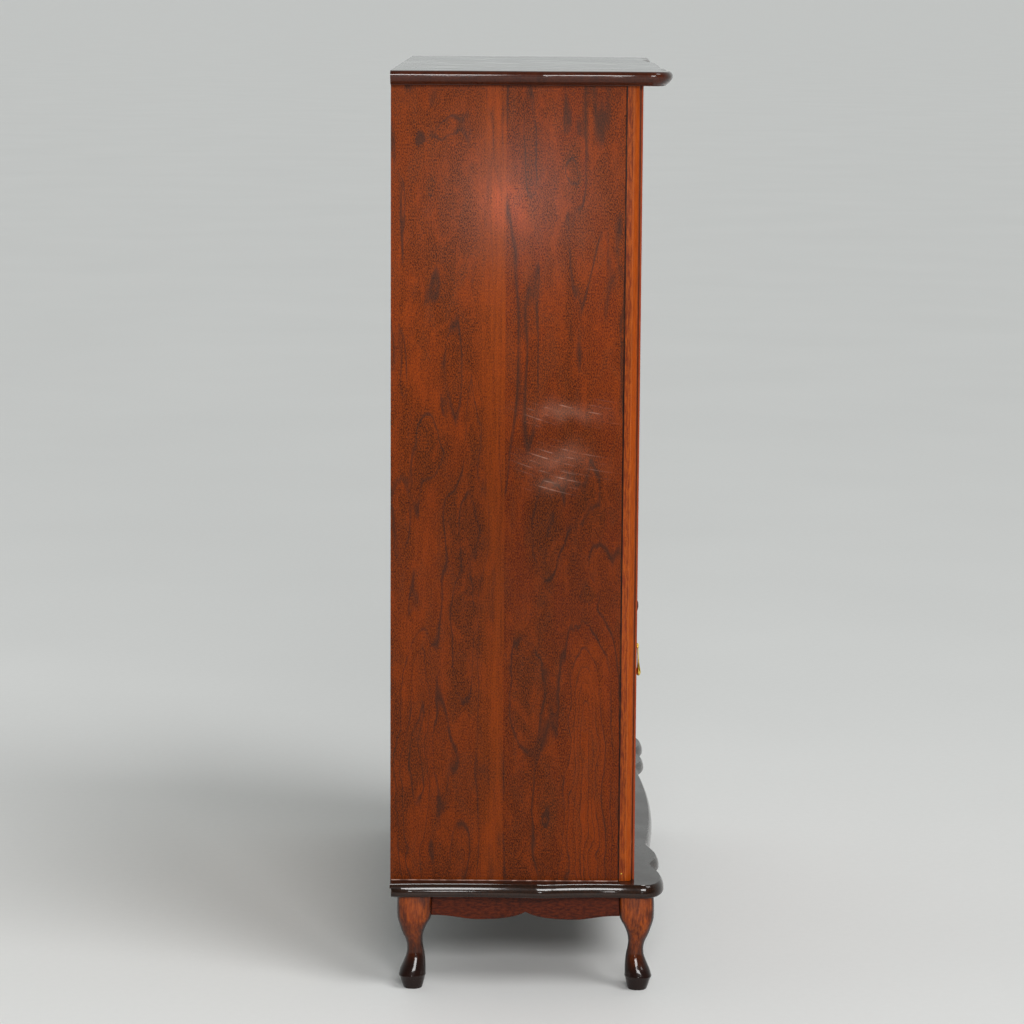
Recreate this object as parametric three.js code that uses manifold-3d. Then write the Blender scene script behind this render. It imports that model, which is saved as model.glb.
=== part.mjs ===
// China cabinet with glass doors: a case on cabriole legs, a pair of glazed doors over a pair of
// panelled cupboard doors, and moulded top and base boards with a serpentine front.
// Millimetres. X is the width, -Y the front and +Z up. The origin is on the floor, under the
// middle of the cabinet's bounding box. "Depth" means distance forward from the back plane.
import * as THREE from "three";
import { mergeVertices } from "three/addons/utils/BufferGeometryUtils.js";
import Module from "manifold-3d";

const wasm = await Module();
wasm.setup();

// Overall size and clearances
const HEIGHT = 1200;
const DEPTH = 360;
const GAP = 0.3; // between pieces that touch
const BOARD = 18; // top board, base board and side panels
const SHELF = 16; // shelves and divider
const CASE_FLOOR = 14;
const BACK = DEPTH / 2; // y of the back plane
const atDepth = (depth) => BACK - depth;

// Case
const BASE_UNDERSIDE = 128;
const BASE_TOP = BASE_UNDERSIDE + BOARD;
const TOP_UNDERSIDE = HEIGHT - BOARD;
const CASE_HALF = 428.5; // to the outer face of a side panel
const CASE_INSIDE = CASE_HALF - BOARD;
const HOUSING = 5; // how far the shelves enter the side panels
const BACK_PANEL = 6;
const BACK_INSIDE = BACK - BACK_PANEL - GAP;
const SHELF_LEVELS = [680, 915]; // undersides of the two china shelves
const SHELF_SETBACK = 10; // shelves stop this far behind the doors

// Face frame
const FRONT_DEPTH = 319;
const FRONT = atDepth(FRONT_DEPTH);
const FRAME_THICK = 20.5;
const FRAME_BACK = FRONT + FRAME_THICK;
const STILE = 40;
const OPENING_HALF = CASE_HALF - STILE;
const BOTTOM_RAIL_TOP = 166;
const WAIST_RAIL = [422, 452];
const TOP_RAIL_UNDERSIDE = 1160;

// Doors
const DOOR_THICK = 20;
const DOOR_STILE = 38;
const HINGE_GAP = 3;
const MEETING_GAP = 3;
const EDGE_GAP = 2; // above and below a door
const DOOR_OUT = OPENING_HALF - HINGE_GAP;
const DOOR_WIDE = DOOR_OUT - MEETING_GAP / 2;
const UPPER_DOOR = [WAIST_RAIL[1] + EDGE_GAP, TOP_RAIL_UNDERSIDE - EDGE_GAP];
const LOWER_DOOR = [BOTTOM_RAIL_TOP + EDGE_GAP, WAIST_RAIL[0] - EDGE_GAP];
const REBATE_WIDE = 8; // step behind the sight edge that holds the glass or panel
const REBATE_FRONT = 9.5; // from the door's front face
const GLASS = 3;
const PANEL = { plate: 8, margin: 22, bevel: 16, rise: 4.5 };
const BAR_WIDE = 8;
const BAR_THICK = 7.5;

// Door pivots
const PIVOT_IN = 6; // axis from the door's outer edge
const PIVOT_BEHIND = 5.5; // axis from the door's front face
const PIN_RADIUS = 1.8;
const SOCKET_RADIUS = 2;
const PIN_REACH = 8; // into the door
const PLATE = { long: 34, wide: 9, thick: 2 };

// Pear-drop handle on the lower right door
const HANDLE = { fromMiddle: 20.5, pivotZ: 374.5, pivotDepth: 337, length: 45, pin: 0.9, eye: 2 };
const FORK = { slot: 3.4, cheek: 1.8, root: 6 }; // root is how far it reaches back from the pivot

// Lock on the upper right door
const LOCK = { z: 800, tall: 46, wide: 30, thick: 9 };
const BOLT = { long: 22, tall: 11, thick: 4 };

// Legs
const LEG_X = 420;
const LEG_DEPTHS = { front: 323, back: 32.5 };
const LEG_HALF = 23.5;
const APRON_THICK = 16;
const APRON_ENDS = 99; // height of an apron's lower edge where it meets a leg
const FRONT_APRON_DEPTH = 338;
const BACK_APRON_SETBACK = 4; // from the centres of the back legs
const SIDE_APRON_PROUD = 2; // beyond the centres of the legs

const look = (color, roughness, metalness = 0) =>
  new THREE.MeshStandardMaterial({ color, roughness, metalness });
const LOOKS = {
  veneer: look(0x7c3a20, 0.3),
  frame: look(0xa2501f, 0.3),
  moulding: look(0x2c1a12, 0.2),
  leg: look(0x74321c, 0.25),
  inside: look(0x8f5a34, 0.6),
  back: look(0xa9825c, 0.8),
  brass: look(0xb08d45, 0.3, 1),
  glass: new THREE.MeshStandardMaterial({ color: 0xdfe8e6, transparent: true, opacity: 0.3 }),
};

function piece(name, geometry, material) {
  const mesh = new THREE.Mesh(geometry, material);
  mesh.name = name;
  return mesh;
}

function group(...children) {
  const made = new THREE.Group();
  made.add(...children);
  return made;
}

// A box between opposite faces, each pair given in either order.
function block(x, y, z) {
  const pairs = [x, y, z];
  const size = pairs.map(([a, b]) => Math.abs(b - a));
  const middle = pairs.map(([a, b]) => (a + b) / 2);
  return new THREE.BoxGeometry(...size).translate(...middle);
}

// A round rod parallel to z.
function rod(radius, x, y, [low, high]) {
  const made = new THREE.CylinderGeometry(radius, radius, high - low, 16);
  return made.rotateX(Math.PI / 2).translate(x, y, (low + high) / 2);
}

function toSolid(geometry) {
  const bare = geometry.clone().deleteAttribute("normal").deleteAttribute("uv");
  const merged = mergeVertices(bare, 1e-4);
  const vertProperties = new Float32Array(merged.getAttribute("position").array);
  const triVerts = new Uint32Array(merged.index.array);
  return new wasm.Manifold(new wasm.Mesh({ numProp: 3, vertProperties, triVerts }));
}

function toGeometry(solid) {
  const mesh = solid.getMesh();
  const made = new THREE.BufferGeometry();
  made.setAttribute("position", new THREE.BufferAttribute(mesh.vertProperties, 3));
  made.setIndex(new THREE.BufferAttribute(mesh.triVerts, 1));
  made.computeVertexNormals();
  return made;
}

const join = (...parts) => toGeometry(parts.map(toSolid).reduce((a, b) => a.add(b)));
const cut = (body, ...tools) =>
  toGeometry(tools.map(toSolid).reduce((a, b) => a.subtract(b), toSolid(body)));

// Extrudes a flat outline of [horizontal, z] points or a Shape, drawn in the x-z plane, along y.
function standing(shape, y, curveSegments = 8) {
  const depth = Math.abs(y[1] - y[0]);
  const made = new THREE.ExtrudeGeometry(shape, { depth, bevelEnabled: false, curveSegments });
  return made.rotateX(Math.PI / 2).translate(0, Math.max(...y), 0);
}

// Closed skin over rings that all have the same number of points, capped at both ends.
function skin(rings) {
  const count = rings[0].length;
  const last = (rings.length - 1) * count;
  const caps = THREE.ShapeUtils.triangulateShape(rings[0].map((p) => new THREE.Vector2(p.x, p.y)), []);
  const index = [];
  caps.forEach(([a, b, c]) => index.push(c, b, a, last + a, last + b, last + c));
  for (let ring = 0; ring < rings.length - 1; ring += 1) {
    for (let i = 0; i < count; i += 1) {
      const a = ring * count + i;
      const b = ring * count + ((i + 1) % count);
      index.push(a, b, b + count, a, b + count, a + count);
    }
  }
  const made = new THREE.BufferGeometry().setFromPoints(rings.flat());
  made.setIndex(index);
  made.computeVertexNormals();
  return made;
}

// A board with a moulded edge. The outline runs anticlockwise seen from above, from one end of the
// straight back edge to the other; the profile is a list of [inset, z] steps from the lower face up.
function mouldedBoard(outline, profile) {
  const outward = outline.map((point, i) => {
    if (i === 0 || i === outline.length - 1) return new THREE.Vector2(Math.sign(point.x), 0);
    const before = point.clone().sub(outline[i - 1]).normalize();
    const after = outline[i + 1].clone().sub(point).normalize();
    const middle = before.add(after).normalize();
    return new THREE.Vector2(middle.y, -middle.x);
  });
  return skin(
    profile.map(([inset, z]) =>
      outline.map((p, i) => {
        const moved = p.clone().addScaledVector(outward[i], -inset);
        return new THREE.Vector3(moved.x, moved.y, z);
      }),
    ),
  );
}

// Mirrors a right-hand edge, drawn from the middle of the front to the back as [x, depth], into a
// whole outline.
function wholeOutline(path, steps) {
  const right = path.getPoints(steps).map((p) => new THREE.Vector2(p.x, atDepth(p.y)));
  const left = right.slice(1).reverse();
  return [...left.map((p) => new THREE.Vector2(-p.x, p.y)), ...right];
}

// The serpentine plan of the top and base boards: a shallow central bow, an ear on each side, a
// rounded corner, and a side that is hollowed twice either side of a soft point.
function serpentine() {
  const bow = [0, 358];
  const bowEnd = [232, 346.5];
  const earTip = [290, 358];
  const earEnd = [340, 347];
  const corner = [402, 360];
  const cornerEnd = [452, 328];
  const sidePoint = [455, 203];
  const sideBack = [455, 0];
  const edge = new THREE.Path().moveTo(...bow);
  edge.bezierCurveTo(95, 358, 175, 351, ...bowEnd);
  edge.bezierCurveTo(250, 350.5, 268, 358, ...earTip);
  edge.bezierCurveTo(312, 358, 324, 351, ...earEnd);
  edge.bezierCurveTo(356, 352, 378, 360, ...corner);
  edge.bezierCurveTo(432, 360, 455, 350, ...cornerEnd);
  edge.quadraticCurveTo(444, 266, ...sidePoint);
  edge.quadraticCurveTo(447, 105, ...sideBack);
  return wholeOutline(edge, 6);
}

function topBoard() {
  const thumbnail = [[11, 0], [6.5, 3.5], [3.2, 8], [2, 12.5], [3.6, 16], [8, BOARD]];
  const profile = thumbnail.map(([inset, z]) => [inset, TOP_UNDERSIDE + z]);
  return piece("top_board", mouldedBoard(serpentine(), profile), LOOKS.moulding);
}

function baseBoard() {
  const torus = [[5, 0], [1, 1.6], [0, 4.6], [1.4, 10], [4.6, 14], [9, BOARD]];
  const profile = torus.map(([inset, z]) => [inset, BASE_UNDERSIDE + z]);
  return piece("base_board", mouldedBoard(serpentine(), profile), LOOKS.moulding);
}

const SIDES = { left: -1, right: 1 };
const BOARD_Y = [FRAME_BACK + GAP, BACK_INSIDE];
const DIVIDER_UNDERSIDE = (WAIST_RAIL[0] + WAIST_RAIL[1] - SHELF) / 2;

function sidePanel(side) {
  const s = SIDES[side];
  const panel = block([s * CASE_INSIDE, s * CASE_HALF], [FRAME_BACK + GAP, BACK],
    [BASE_TOP + GAP, TOP_UNDERSIDE - GAP]);
  const housings = [DIVIDER_UNDERSIDE, ...SHELF_LEVELS].map((z) =>
    block([s * (CASE_INSIDE - 1), s * (CASE_INSIDE + HOUSING)], [FRAME_BACK - 1, BACK_INSIDE + GAP],
      [z - GAP, z + SHELF + GAP]),
  );
  return piece(`${side}_side_panel`, cut(panel, ...housings), LOOKS.veneer);
}

function boards() {
  const housed = CASE_INSIDE + HOUSING - GAP;
  const shelf = (name, z, front) =>
    piece(name, block([-housed, housed], [front, BACK_INSIDE], [z, z + SHELF]), LOOKS.inside);
  const inside = [GAP - CASE_INSIDE, CASE_INSIDE - GAP];
  const floorTop = BASE_TOP + GAP + CASE_FLOOR;
  return [
    piece("case_floor", block(inside, BOARD_Y, [BASE_TOP + GAP, floorTop]), LOOKS.inside),
    shelf("divider_board", DIVIDER_UNDERSIDE, FRAME_BACK + GAP),
    shelf("lower_shelf", SHELF_LEVELS[0], FRAME_BACK + SHELF_SETBACK),
    shelf("upper_shelf", SHELF_LEVELS[1], FRAME_BACK + SHELF_SETBACK),
    piece("back_panel",
      block(inside, [BACK - BACK_PANEL, BACK - GAP], [BASE_TOP + GAP, TOP_UNDERSIDE - GAP]), LOOKS.back),
  ];
}

// Face-frame stile: the outer corner is a quarter-round between two small steps.
function frontStile(side) {
  const s = SIDES[side];
  const round = 6;
  const step = 1.5;
  const bead = 3;
  const x = CASE_HALF;
  const section = new THREE.Shape();
  section.moveTo(s * OPENING_HALF, FRAME_BACK);
  section.lineTo(s * x, FRAME_BACK);
  section.lineTo(s * x, FRONT + bead + round + step);
  section.lineTo(s * (x - step), FRONT + bead + round);
  for (let turn = 1; turn <= 4; turn += 1) {
    const angle = (turn * Math.PI) / 8;
    section.lineTo(s * (x - step - round * (1 - Math.cos(angle))),
      FRONT + bead + round * (1 - Math.sin(angle)));
  }
  section.lineTo(s * (x - 2 * step - round), FRONT + bead);
  section.lineTo(s * (x - 2 * step - round), FRONT);
  section.lineTo(s * OPENING_HALF, FRONT);
  const tall = TOP_UNDERSIDE - BASE_TOP - 2 * GAP;
  const made = new THREE.ExtrudeGeometry(section, { depth: tall, bevelEnabled: false });
  return piece(`${side}_front_stile`, made.translate(0, 0, BASE_TOP + GAP), LOOKS.frame);
}

const PIVOT_X = DOOR_OUT - PIVOT_IN;
const PIVOT_Y = FRONT + PIVOT_BEHIND;

// The recess for a pivot plate, or with no allowance the plate itself, in a rail's face at z.
function plateBlock(s, z, into, allowance) {
  const outer = PIVOT_X + PLATE.wide / 2 + allowance;
  const inner = outer - PLATE.long - 2 * allowance;
  const half = PLATE.wide / 2 + allowance;
  return block([s * inner, s * outer], [PIVOT_Y - half, PIVOT_Y + half],
    [z, z + into * (PLATE.thick + allowance)]);
}

function faceRails() {
  const x = [GAP - OPENING_HALF, OPENING_HALF - GAP];
  const y = [FRONT, FRAME_BACK];
  const sides = Object.values(SIDES);
  const bottom = block(x, y, [BASE_TOP + GAP, BOTTOM_RAIL_TOP]);
  const waist = block(x, y, WAIST_RAIL);
  const top = block(x, y, [TOP_RAIL_UNDERSIDE, TOP_UNDERSIDE - GAP]);
  const through = [WAIST_RAIL[0] - 1, WAIST_RAIL[1] + 1];
  return [
    piece("bottom_rail", cut(bottom, ...sides.map((s) => plateBlock(s, BOTTOM_RAIL_TOP, -1, GAP))),
      LOOKS.frame),
    piece("waist_rail", cut(waist, ...sides.map((s) => rod(SOCKET_RADIUS, s * PIVOT_X, PIVOT_Y, through))),
      LOOKS.frame),
    piece("top_rail", cut(top, ...sides.map((s) => plateBlock(s, TOP_RAIL_UNDERSIDE, 1, GAP))),
      LOOKS.frame),
  ];
}

// The waist moulding is brace-shaped in plan: nearly flush at its ends, with a soft central point.
function waistMoulding() {
  const half = OPENING_HALF - 4.5;
  const crest = FRONT_DEPTH + 17.8;
  const end = FRONT_DEPTH + 1.6;
  const ground = FRONT_DEPTH + GAP;
  const tall = 14;
  const edge = new THREE.Path().moveTo(0, crest);
  edge.bezierCurveTo(40, crest - 0.3, 110, end + 1, half, end);
  edge.lineTo(half, ground);
  const outline = wholeOutline(edge, 10);
  const z = (WAIST_RAIL[0] + WAIST_RAIL[1] - tall) / 2;
  const inset = 0.9;
  const profile = [[inset, 0], [0, 3], [0, tall - 3], [inset, tall]];
  const made = mouldedBoard(outline, profile.map(([inward, up]) => [inward, z + up]));
  return piece("waist_moulding", made, LOOKS.moulding);
}

// Pins on plates in the top and bottom rails, and one pin through the waist rail on each side.
function pivots(side) {
  const s = SIDES[side];
  const pin = (low, high) => rod(PIN_RADIUS, s * PIVOT_X, PIVOT_Y, [low, high]);
  const top = TOP_RAIL_UNDERSIDE;
  const bottom = BOTTOM_RAIL_TOP;
  return [
    piece(`${side}_top_pivot`,
      join(plateBlock(s, top, 1, 0), pin(UPPER_DOOR[1] - PIN_REACH, top + 1)), LOOKS.brass),
    piece(`${side}_waist_pivot`,
      pin(LOWER_DOOR[1] - PIN_REACH, UPPER_DOOR[0] + PIN_REACH), LOOKS.brass),
    piece(`${side}_bottom_pivot`,
      join(plateBlock(s, bottom, -1, 0), pin(bottom - 1, LOWER_DOOR[0] + PIN_REACH)), LOOKS.brass),
  ];
}

// Inside a door's group x and y are measured from its pivot; u runs inward from the outer edge and
// v back from the front face.
function doorAxes(side) {
  const s = SIDES[side];
  return {
    u: (...values) => values.map((value) => s * (PIVOT_IN - value)),
    v: (...values) => values.map((value) => value - PIVOT_BEHIND),
  };
}

function doorStiles(name, side, [low, high], material) {
  const { u, v } = doorAxes(side);
  const inner = DOOR_WIDE - DOOR_STILE;
  const seat = [REBATE_FRONT, DOOR_THICK + 1];
  const sockets = [[low - 1, low + PIN_REACH + 1], [high - PIN_REACH - 1, high + 1]];
  const hinge = cut(
    block(u(0, DOOR_STILE), v(0, DOOR_THICK), [low, high]),
    block(u(DOOR_STILE - REBATE_WIDE, DOOR_STILE + 1), v(...seat), [low - 1, high + 1]),
    ...sockets.map((span) => rod(SOCKET_RADIUS, 0, 0, span)),
  );
  const meeting = cut(
    block(u(inner, DOOR_WIDE), v(0, DOOR_THICK), [low, high]),
    block(u(inner - 1, inner + REBATE_WIDE), v(...seat), [low - 1, high + 1]),
  );
  return [piece(`${name}_hinge_stile`, hinge, material), piece(`${name}_meeting_stile`, meeting, material)];
}

// A door rail: its back half laps into the stiles' rebates, and its inner edge is rebated.
function doorRail(name, side, outer, sight, material) {
  const { u, v } = doorAxes(side);
  const from = DOOR_STILE + GAP;
  const to = DOOR_WIDE - from;
  const lap = REBATE_WIDE;
  const towards = Math.sign(outer - sight);
  const seatEdge = sight + towards * REBATE_WIDE;
  const rail = join(
    block(u(from, to), v(0, REBATE_FRONT + GAP), [outer, sight]),
    block(u(from - lap, to + lap), v(REBATE_FRONT + GAP, DOOR_THICK), [outer, seatEdge]),
  );
  const notch = block(u(from - lap - 1, to + lap + 1), v(REBATE_FRONT, DOOR_THICK + 1),
    [sight - towards, seatEdge]);
  return piece(name, cut(rail, notch), material);
}

function doorFrame(name, side, span, railWidths, material) {
  const [low, high] = span;
  const sight = [low + railWidths[0], high - railWidths[1]];
  return {
    sight,
    pieces: [
      ...doorStiles(name, side, span, material),
      doorRail(`${name}_bottom_rail`, side, low, sight[0], material),
      doorRail(`${name}_top_rail`, side, high, sight[1], material),
    ],
  };
}

// A flat bar of even width along a curve in the x-z plane.
function curvedBar(curve, steps) {
  const edges = [[], []];
  for (let i = 0; i <= steps; i += 1) {
    const at = curve.getPoint(i / steps);
    const along = curve.getTangent(i / steps);
    const across = new THREE.Vector2(-along.y, along.x).multiplyScalar(BAR_WIDE / 2);
    edges[0].push(at.clone().add(across));
    edges[1].unshift(at.clone().sub(across));
  }
  return standing(new THREE.Shape([...edges[0], ...edges[1]]), [0, BAR_THICK]);
}

// Glazing bars: a thin border round a pointed oval that is tied to the border on four sides.
function glazingBars(wide, tall) {
  const half = { x: wide / 2 - GAP, z: tall / 2 - GAP };
  const oval = { x: 0.62 * half.x, z: 0.62 * half.z };
  const border = 6;
  const rectangle = (x, z) => [[-x, -z], [x, -z], [x, z], [-x, z]].map((p) => new THREE.Vector2(...p));
  const frame = new THREE.Shape(rectangle(half.x, half.z));
  frame.holes.push(new THREE.Path(rectangle(half.x - border, half.z - border)));
  const bars = [];
  for (const sign of [-1, 1]) {
    const point = (x, z) => new THREE.Vector2(x, z);
    const flank = new THREE.QuadraticBezierCurve(point(0, -oval.z), point(sign * 2 * oval.x, 0),
      point(0, oval.z));
    bars.push(curvedBar(flank, 14));
    const upright = new THREE.LineCurve(point(0, sign * (oval.z - 2)), point(0, sign * (half.z - 1)));
    const level = new THREE.LineCurve(point(sign * oval.x, 0), point(sign * (half.x - 1), 0));
    bars.push(curvedBar(upright, 1), curvedBar(level, 1));
  }
  return join(standing(frame, [0, BAR_THICK]), ...bars);
}

function glazedDoor(side) {
  const name = `upper_${side}_door`;
  const { u, v } = doorAxes(side);
  const { sight, pieces } = doorFrame(name, side, UPPER_DOOR, [46, 38], LOOKS.frame);
  const lip = REBATE_WIDE - 2 * GAP;
  const glass = block(u(DOOR_STILE - lip, DOOR_WIDE - DOOR_STILE + lip),
    v(REBATE_FRONT + GAP, REBATE_FRONT + GAP + GLASS), [sight[0] - lip, sight[1] + lip]);
  const [middle] = u(DOOR_WIDE / 2);
  const bars = glazingBars(DOOR_WIDE - 2 * DOOR_STILE, sight[1] - sight[0]);
  bars.translate(middle, v(REBATE_FRONT - BAR_THICK)[0], (sight[0] + sight[1]) / 2);
  return [
    ...pieces,
    piece(`${name}_glass`, glass, LOOKS.glass),
    piece(`${name}_glazing_bars`, bars, LOOKS.frame),
  ];
}

// Fielded panel: a thin plate held by the rebate, with a bevelled field raised towards the front.
function panelledDoor(side) {
  const name = `lower_${side}_door`;
  const { u, v } = doorAxes(side);
  const { sight, pieces } = doorFrame(name, side, LOWER_DOOR, [38, 38], LOOKS.frame);
  const lip = REBATE_WIDE - 2 * GAP;
  const front = REBATE_FRONT + GAP;
  const behind = front + PANEL.plate;
  const plate = block(u(DOOR_STILE - lip, DOOR_WIDE - DOOR_STILE + lip), v(front, behind),
    [sight[0] - lip, sight[1] + lip]);
  const border = PANEL.margin + PANEL.bevel;
  const half = {
    x: DOOR_WIDE / 2 - DOOR_STILE - border,
    z: (sight[1] - sight[0]) / 2 - border,
  };
  const field = new THREE.Shape();
  field.moveTo(-half.x, -half.z).lineTo(half.x, -half.z).lineTo(half.x, half.z).lineTo(-half.x, half.z);
  const core = 1; // straight part of the raised field, inside the plate
  const raised = new THREE.ExtrudeGeometry(field, {
    depth: core, bevelThickness: PANEL.rise, bevelSize: PANEL.bevel, bevelSegments: 1, steps: 1,
  });
  const [middle] = u(DOOR_WIDE / 2);
  raised.rotateX(Math.PI / 2).translate(middle, v(front + core)[0], (sight[0] + sight[1]) / 2);
  const whole = cut(join(plate, raised), block(u(0, DOOR_WIDE), v(behind, 2 * behind), LOWER_DOOR));
  return [...pieces, piece(`${name}_panel`, whole, LOOKS.veneer)];
}

function lock() {
  const { u, v } = doorAxes("right");
  const edge = DOOR_WIDE - 1.5;
  const behind = DOOR_THICK + GAP;
  const channel = (LOCK.thick - BOLT.thick) / 2 + behind;
  const casing = cut(
    block(u(edge - LOCK.wide, edge), v(behind, behind + LOCK.thick),
      [LOCK.z - LOCK.tall / 2, LOCK.z + LOCK.tall / 2]),
    block(u(edge - BOLT.long - GAP, edge + 1), v(channel - GAP, channel + BOLT.thick + GAP),
      [LOCK.z - BOLT.tall / 2 - GAP, LOCK.z + BOLT.tall / 2 + GAP]),
  );
  const bolt = block(u(edge - BOLT.long, edge), v(channel, channel + BOLT.thick),
    [LOCK.z - BOLT.tall / 2, LOCK.z + BOLT.tall / 2]);
  return [piece("lock_case", casing, LOOKS.brass), piece("lock_bolt", bolt, LOOKS.brass)];
}

// A rod parallel to x, centred on the handle's pivot.
function crossRod(radius, long) {
  return new THREE.CylinderGeometry(radius, radius, long, 16).rotateZ(Math.PI / 2);
}

// The handle's fixed rose and forked post, and its swinging pear drop; the group's origin is the
// drop's pivot.
function handle() {
  const reach = HANDLE.pivotDepth - FRONT_DEPTH;
  const { slot, cheek, root } = FORK;
  const neck = reach - root + 2;
  const rose = [[0, 0], [11, 0], [11, 1], [8, 2.4], [4, 3], [2.8, 5], [2.8, neck], [0, neck]];
  const post = new THREE.LatheGeometry(rose.map((p) => new THREE.Vector2(...p)), 20);
  post.rotateX(Math.PI).translate(0, reach - GAP, 0);
  const fork = block([-slot / 2 - cheek, slot / 2 + cheek], [-cheek, root], [-cheek, cheek]);
  const mouth = block([-slot / 2, slot / 2], [-2 * cheek, HANDLE.eye + 0.5], [-2 * cheek, 2 * cheek]);
  const plate = join(post, cut(fork, mouth), crossRod(HANDLE.pin, slot + cheek));
  const tip = -HANDLE.length;
  const top = -HANDLE.pin - 0.4;
  const drop = [[0, tip], [2, tip + 0.6], [3.3, tip + 4], [2.6, tip + 9], [1.2, tip + 20],
    [1, top], [0, top]];
  const pear = new THREE.LatheGeometry(drop.map((p) => new THREE.Vector2(...p)), 16).rotateX(Math.PI / 2);
  const eye = crossRod(HANDLE.eye, slot - 2 * GAP);
  const whole = cut(join(pear, eye), crossRod(HANDLE.pin + 0.15, slot + 2));
  return [piece("handle_plate", plate, LOOKS.brass), piece("handle_drop", whole, LOOKS.brass)];
}

// Cabriole leg, rings of points round a centre that wanders along the corner's diagonal. Each
// station is [z, outward offset, radius, squareness], where squareness 2 is round.
function leg(end, side) {
  const stations = [
    [0, 4.5, 11.8, 2], [2, 4.5, 13, 2], [15, 5, 17.5, 2], [20, 3.8, 14.6, 2], [36, 0.5, 11, 2],
    [54, -0.5, 10.3, 2], [78, 0, 13.8, 2.4], [100, 0.5, 21.8, 3], [BASE_UNDERSIDE - GAP, 0, LEG_HALF, 4],
  ];
  const count = 16;
  const s = SIDES[side];
  const outward = { x: s * Math.SQRT1_2, y: (end === "front" ? -1 : 1) * Math.SQRT1_2 };
  const rings = stations.map(([z, offset, radius, squareness]) =>
    Array.from({ length: count }, (_, i) => {
      const angle = (2 * Math.PI * i) / count;
      const [c, n] = [Math.cos(angle), Math.sin(angle)];
      const r = radius / (Math.abs(c) ** squareness + Math.abs(n) ** squareness) ** (1 / squareness);
      return new THREE.Vector3(offset * outward.x + r * c, offset * outward.y + r * n, z);
    }),
  );
  const made = piece(`${end}_${side}_leg`, skin(rings), LOOKS.leg);
  made.position.set(s * LEG_X, atDepth(LEG_DEPTHS[end]), 0);
  return made;
}

// An apron between two legs: its lower edge drops to two lobes and rises to a central point.
function apron(name, half) {
  const top = BASE_UNDERSIDE - GAP;
  const ends = APRON_ENDS;
  const lobe = 93.5;
  const point = 104;
  const shape = new THREE.Shape().moveTo(-half, top).lineTo(-half, ends);
  shape.bezierCurveTo(-0.76 * half, ends, -0.67 * half, lobe, -0.5 * half, lobe);
  shape.bezierCurveTo(-0.3 * half, lobe, -0.1 * half, ends - 3, 0, point);
  shape.bezierCurveTo(0.1 * half, ends - 3, 0.3 * half, lobe, 0.5 * half, lobe);
  shape.bezierCurveTo(0.67 * half, lobe, 0.76 * half, ends, half, ends);
  shape.lineTo(half, top);
  return piece(name, standing(shape, [-APRON_THICK / 2, APRON_THICK / 2], 6), LOOKS.leg);
}

function underframe() {
  const legs = Object.keys(SIDES).flatMap((side) => ["front", "back"].map((end) => leg(end, side)));
  const across = LEG_X - LEG_HALF - GAP;
  const between = (LEG_DEPTHS.front - LEG_DEPTHS.back) / 2 - LEG_HALF - GAP;
  const middleY = atDepth((LEG_DEPTHS.front + LEG_DEPTHS.back) / 2);
  const front = apron("front_apron", across);
  front.position.y = atDepth(FRONT_APRON_DEPTH) + APRON_THICK / 2;
  const back = piece("back_apron",
    block([-across, across], [-APRON_THICK / 2, APRON_THICK / 2], [APRON_ENDS, BASE_UNDERSIDE - GAP]),
    LOOKS.leg);
  back.position.y = atDepth(LEG_DEPTHS.back - BACK_APRON_SETBACK);
  const sides = Object.entries(SIDES).map(([side, s]) => {
    const made = apron(`${side}_apron`, between);
    made.rotation.z = Math.PI / 2;
    made.position.set(s * (LEG_X + SIDE_APRON_PROUD), middleY, 0);
    return made;
  });
  return group(...legs, front, back, ...sides);
}

function doors(side) {
  const made = group(...glazedDoor(side), ...panelledDoor(side));
  if (side === "right") made.add(...lock());
  made.position.set(SIDES[side] * PIVOT_X, PIVOT_Y, 0);
  return made;
}

const pull = group(...handle());
pull.position.set(HANDLE.fromMiddle, atDepth(HANDLE.pivotDepth), HANDLE.pivotZ);

const cabinet = group(
  topBoard(),
  baseBoard(),
  ...boards(),
  ...faceRails(),
  waistMoulding(),
  underframe(),
  pull,
);
for (const side of Object.keys(SIDES)) {
  cabinet.add(sidePanel(side), frontStile(side), ...pivots(side), doors(side));
}

export default cabinet;
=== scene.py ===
"""China cabinet with glass doors: its fine pieces, finishes, floor, light and camera.

Metres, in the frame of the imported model: X is the width, -Y the front, +Z up. Shapes are drawn in
millimetres and scaled as they are built. "Depth" is the distance forward from the back plane, and
the left side is the one on the left of somebody who faces the doors.
"""

import math

import bmesh
import bpy
from mathutils import Matrix, Vector

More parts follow.
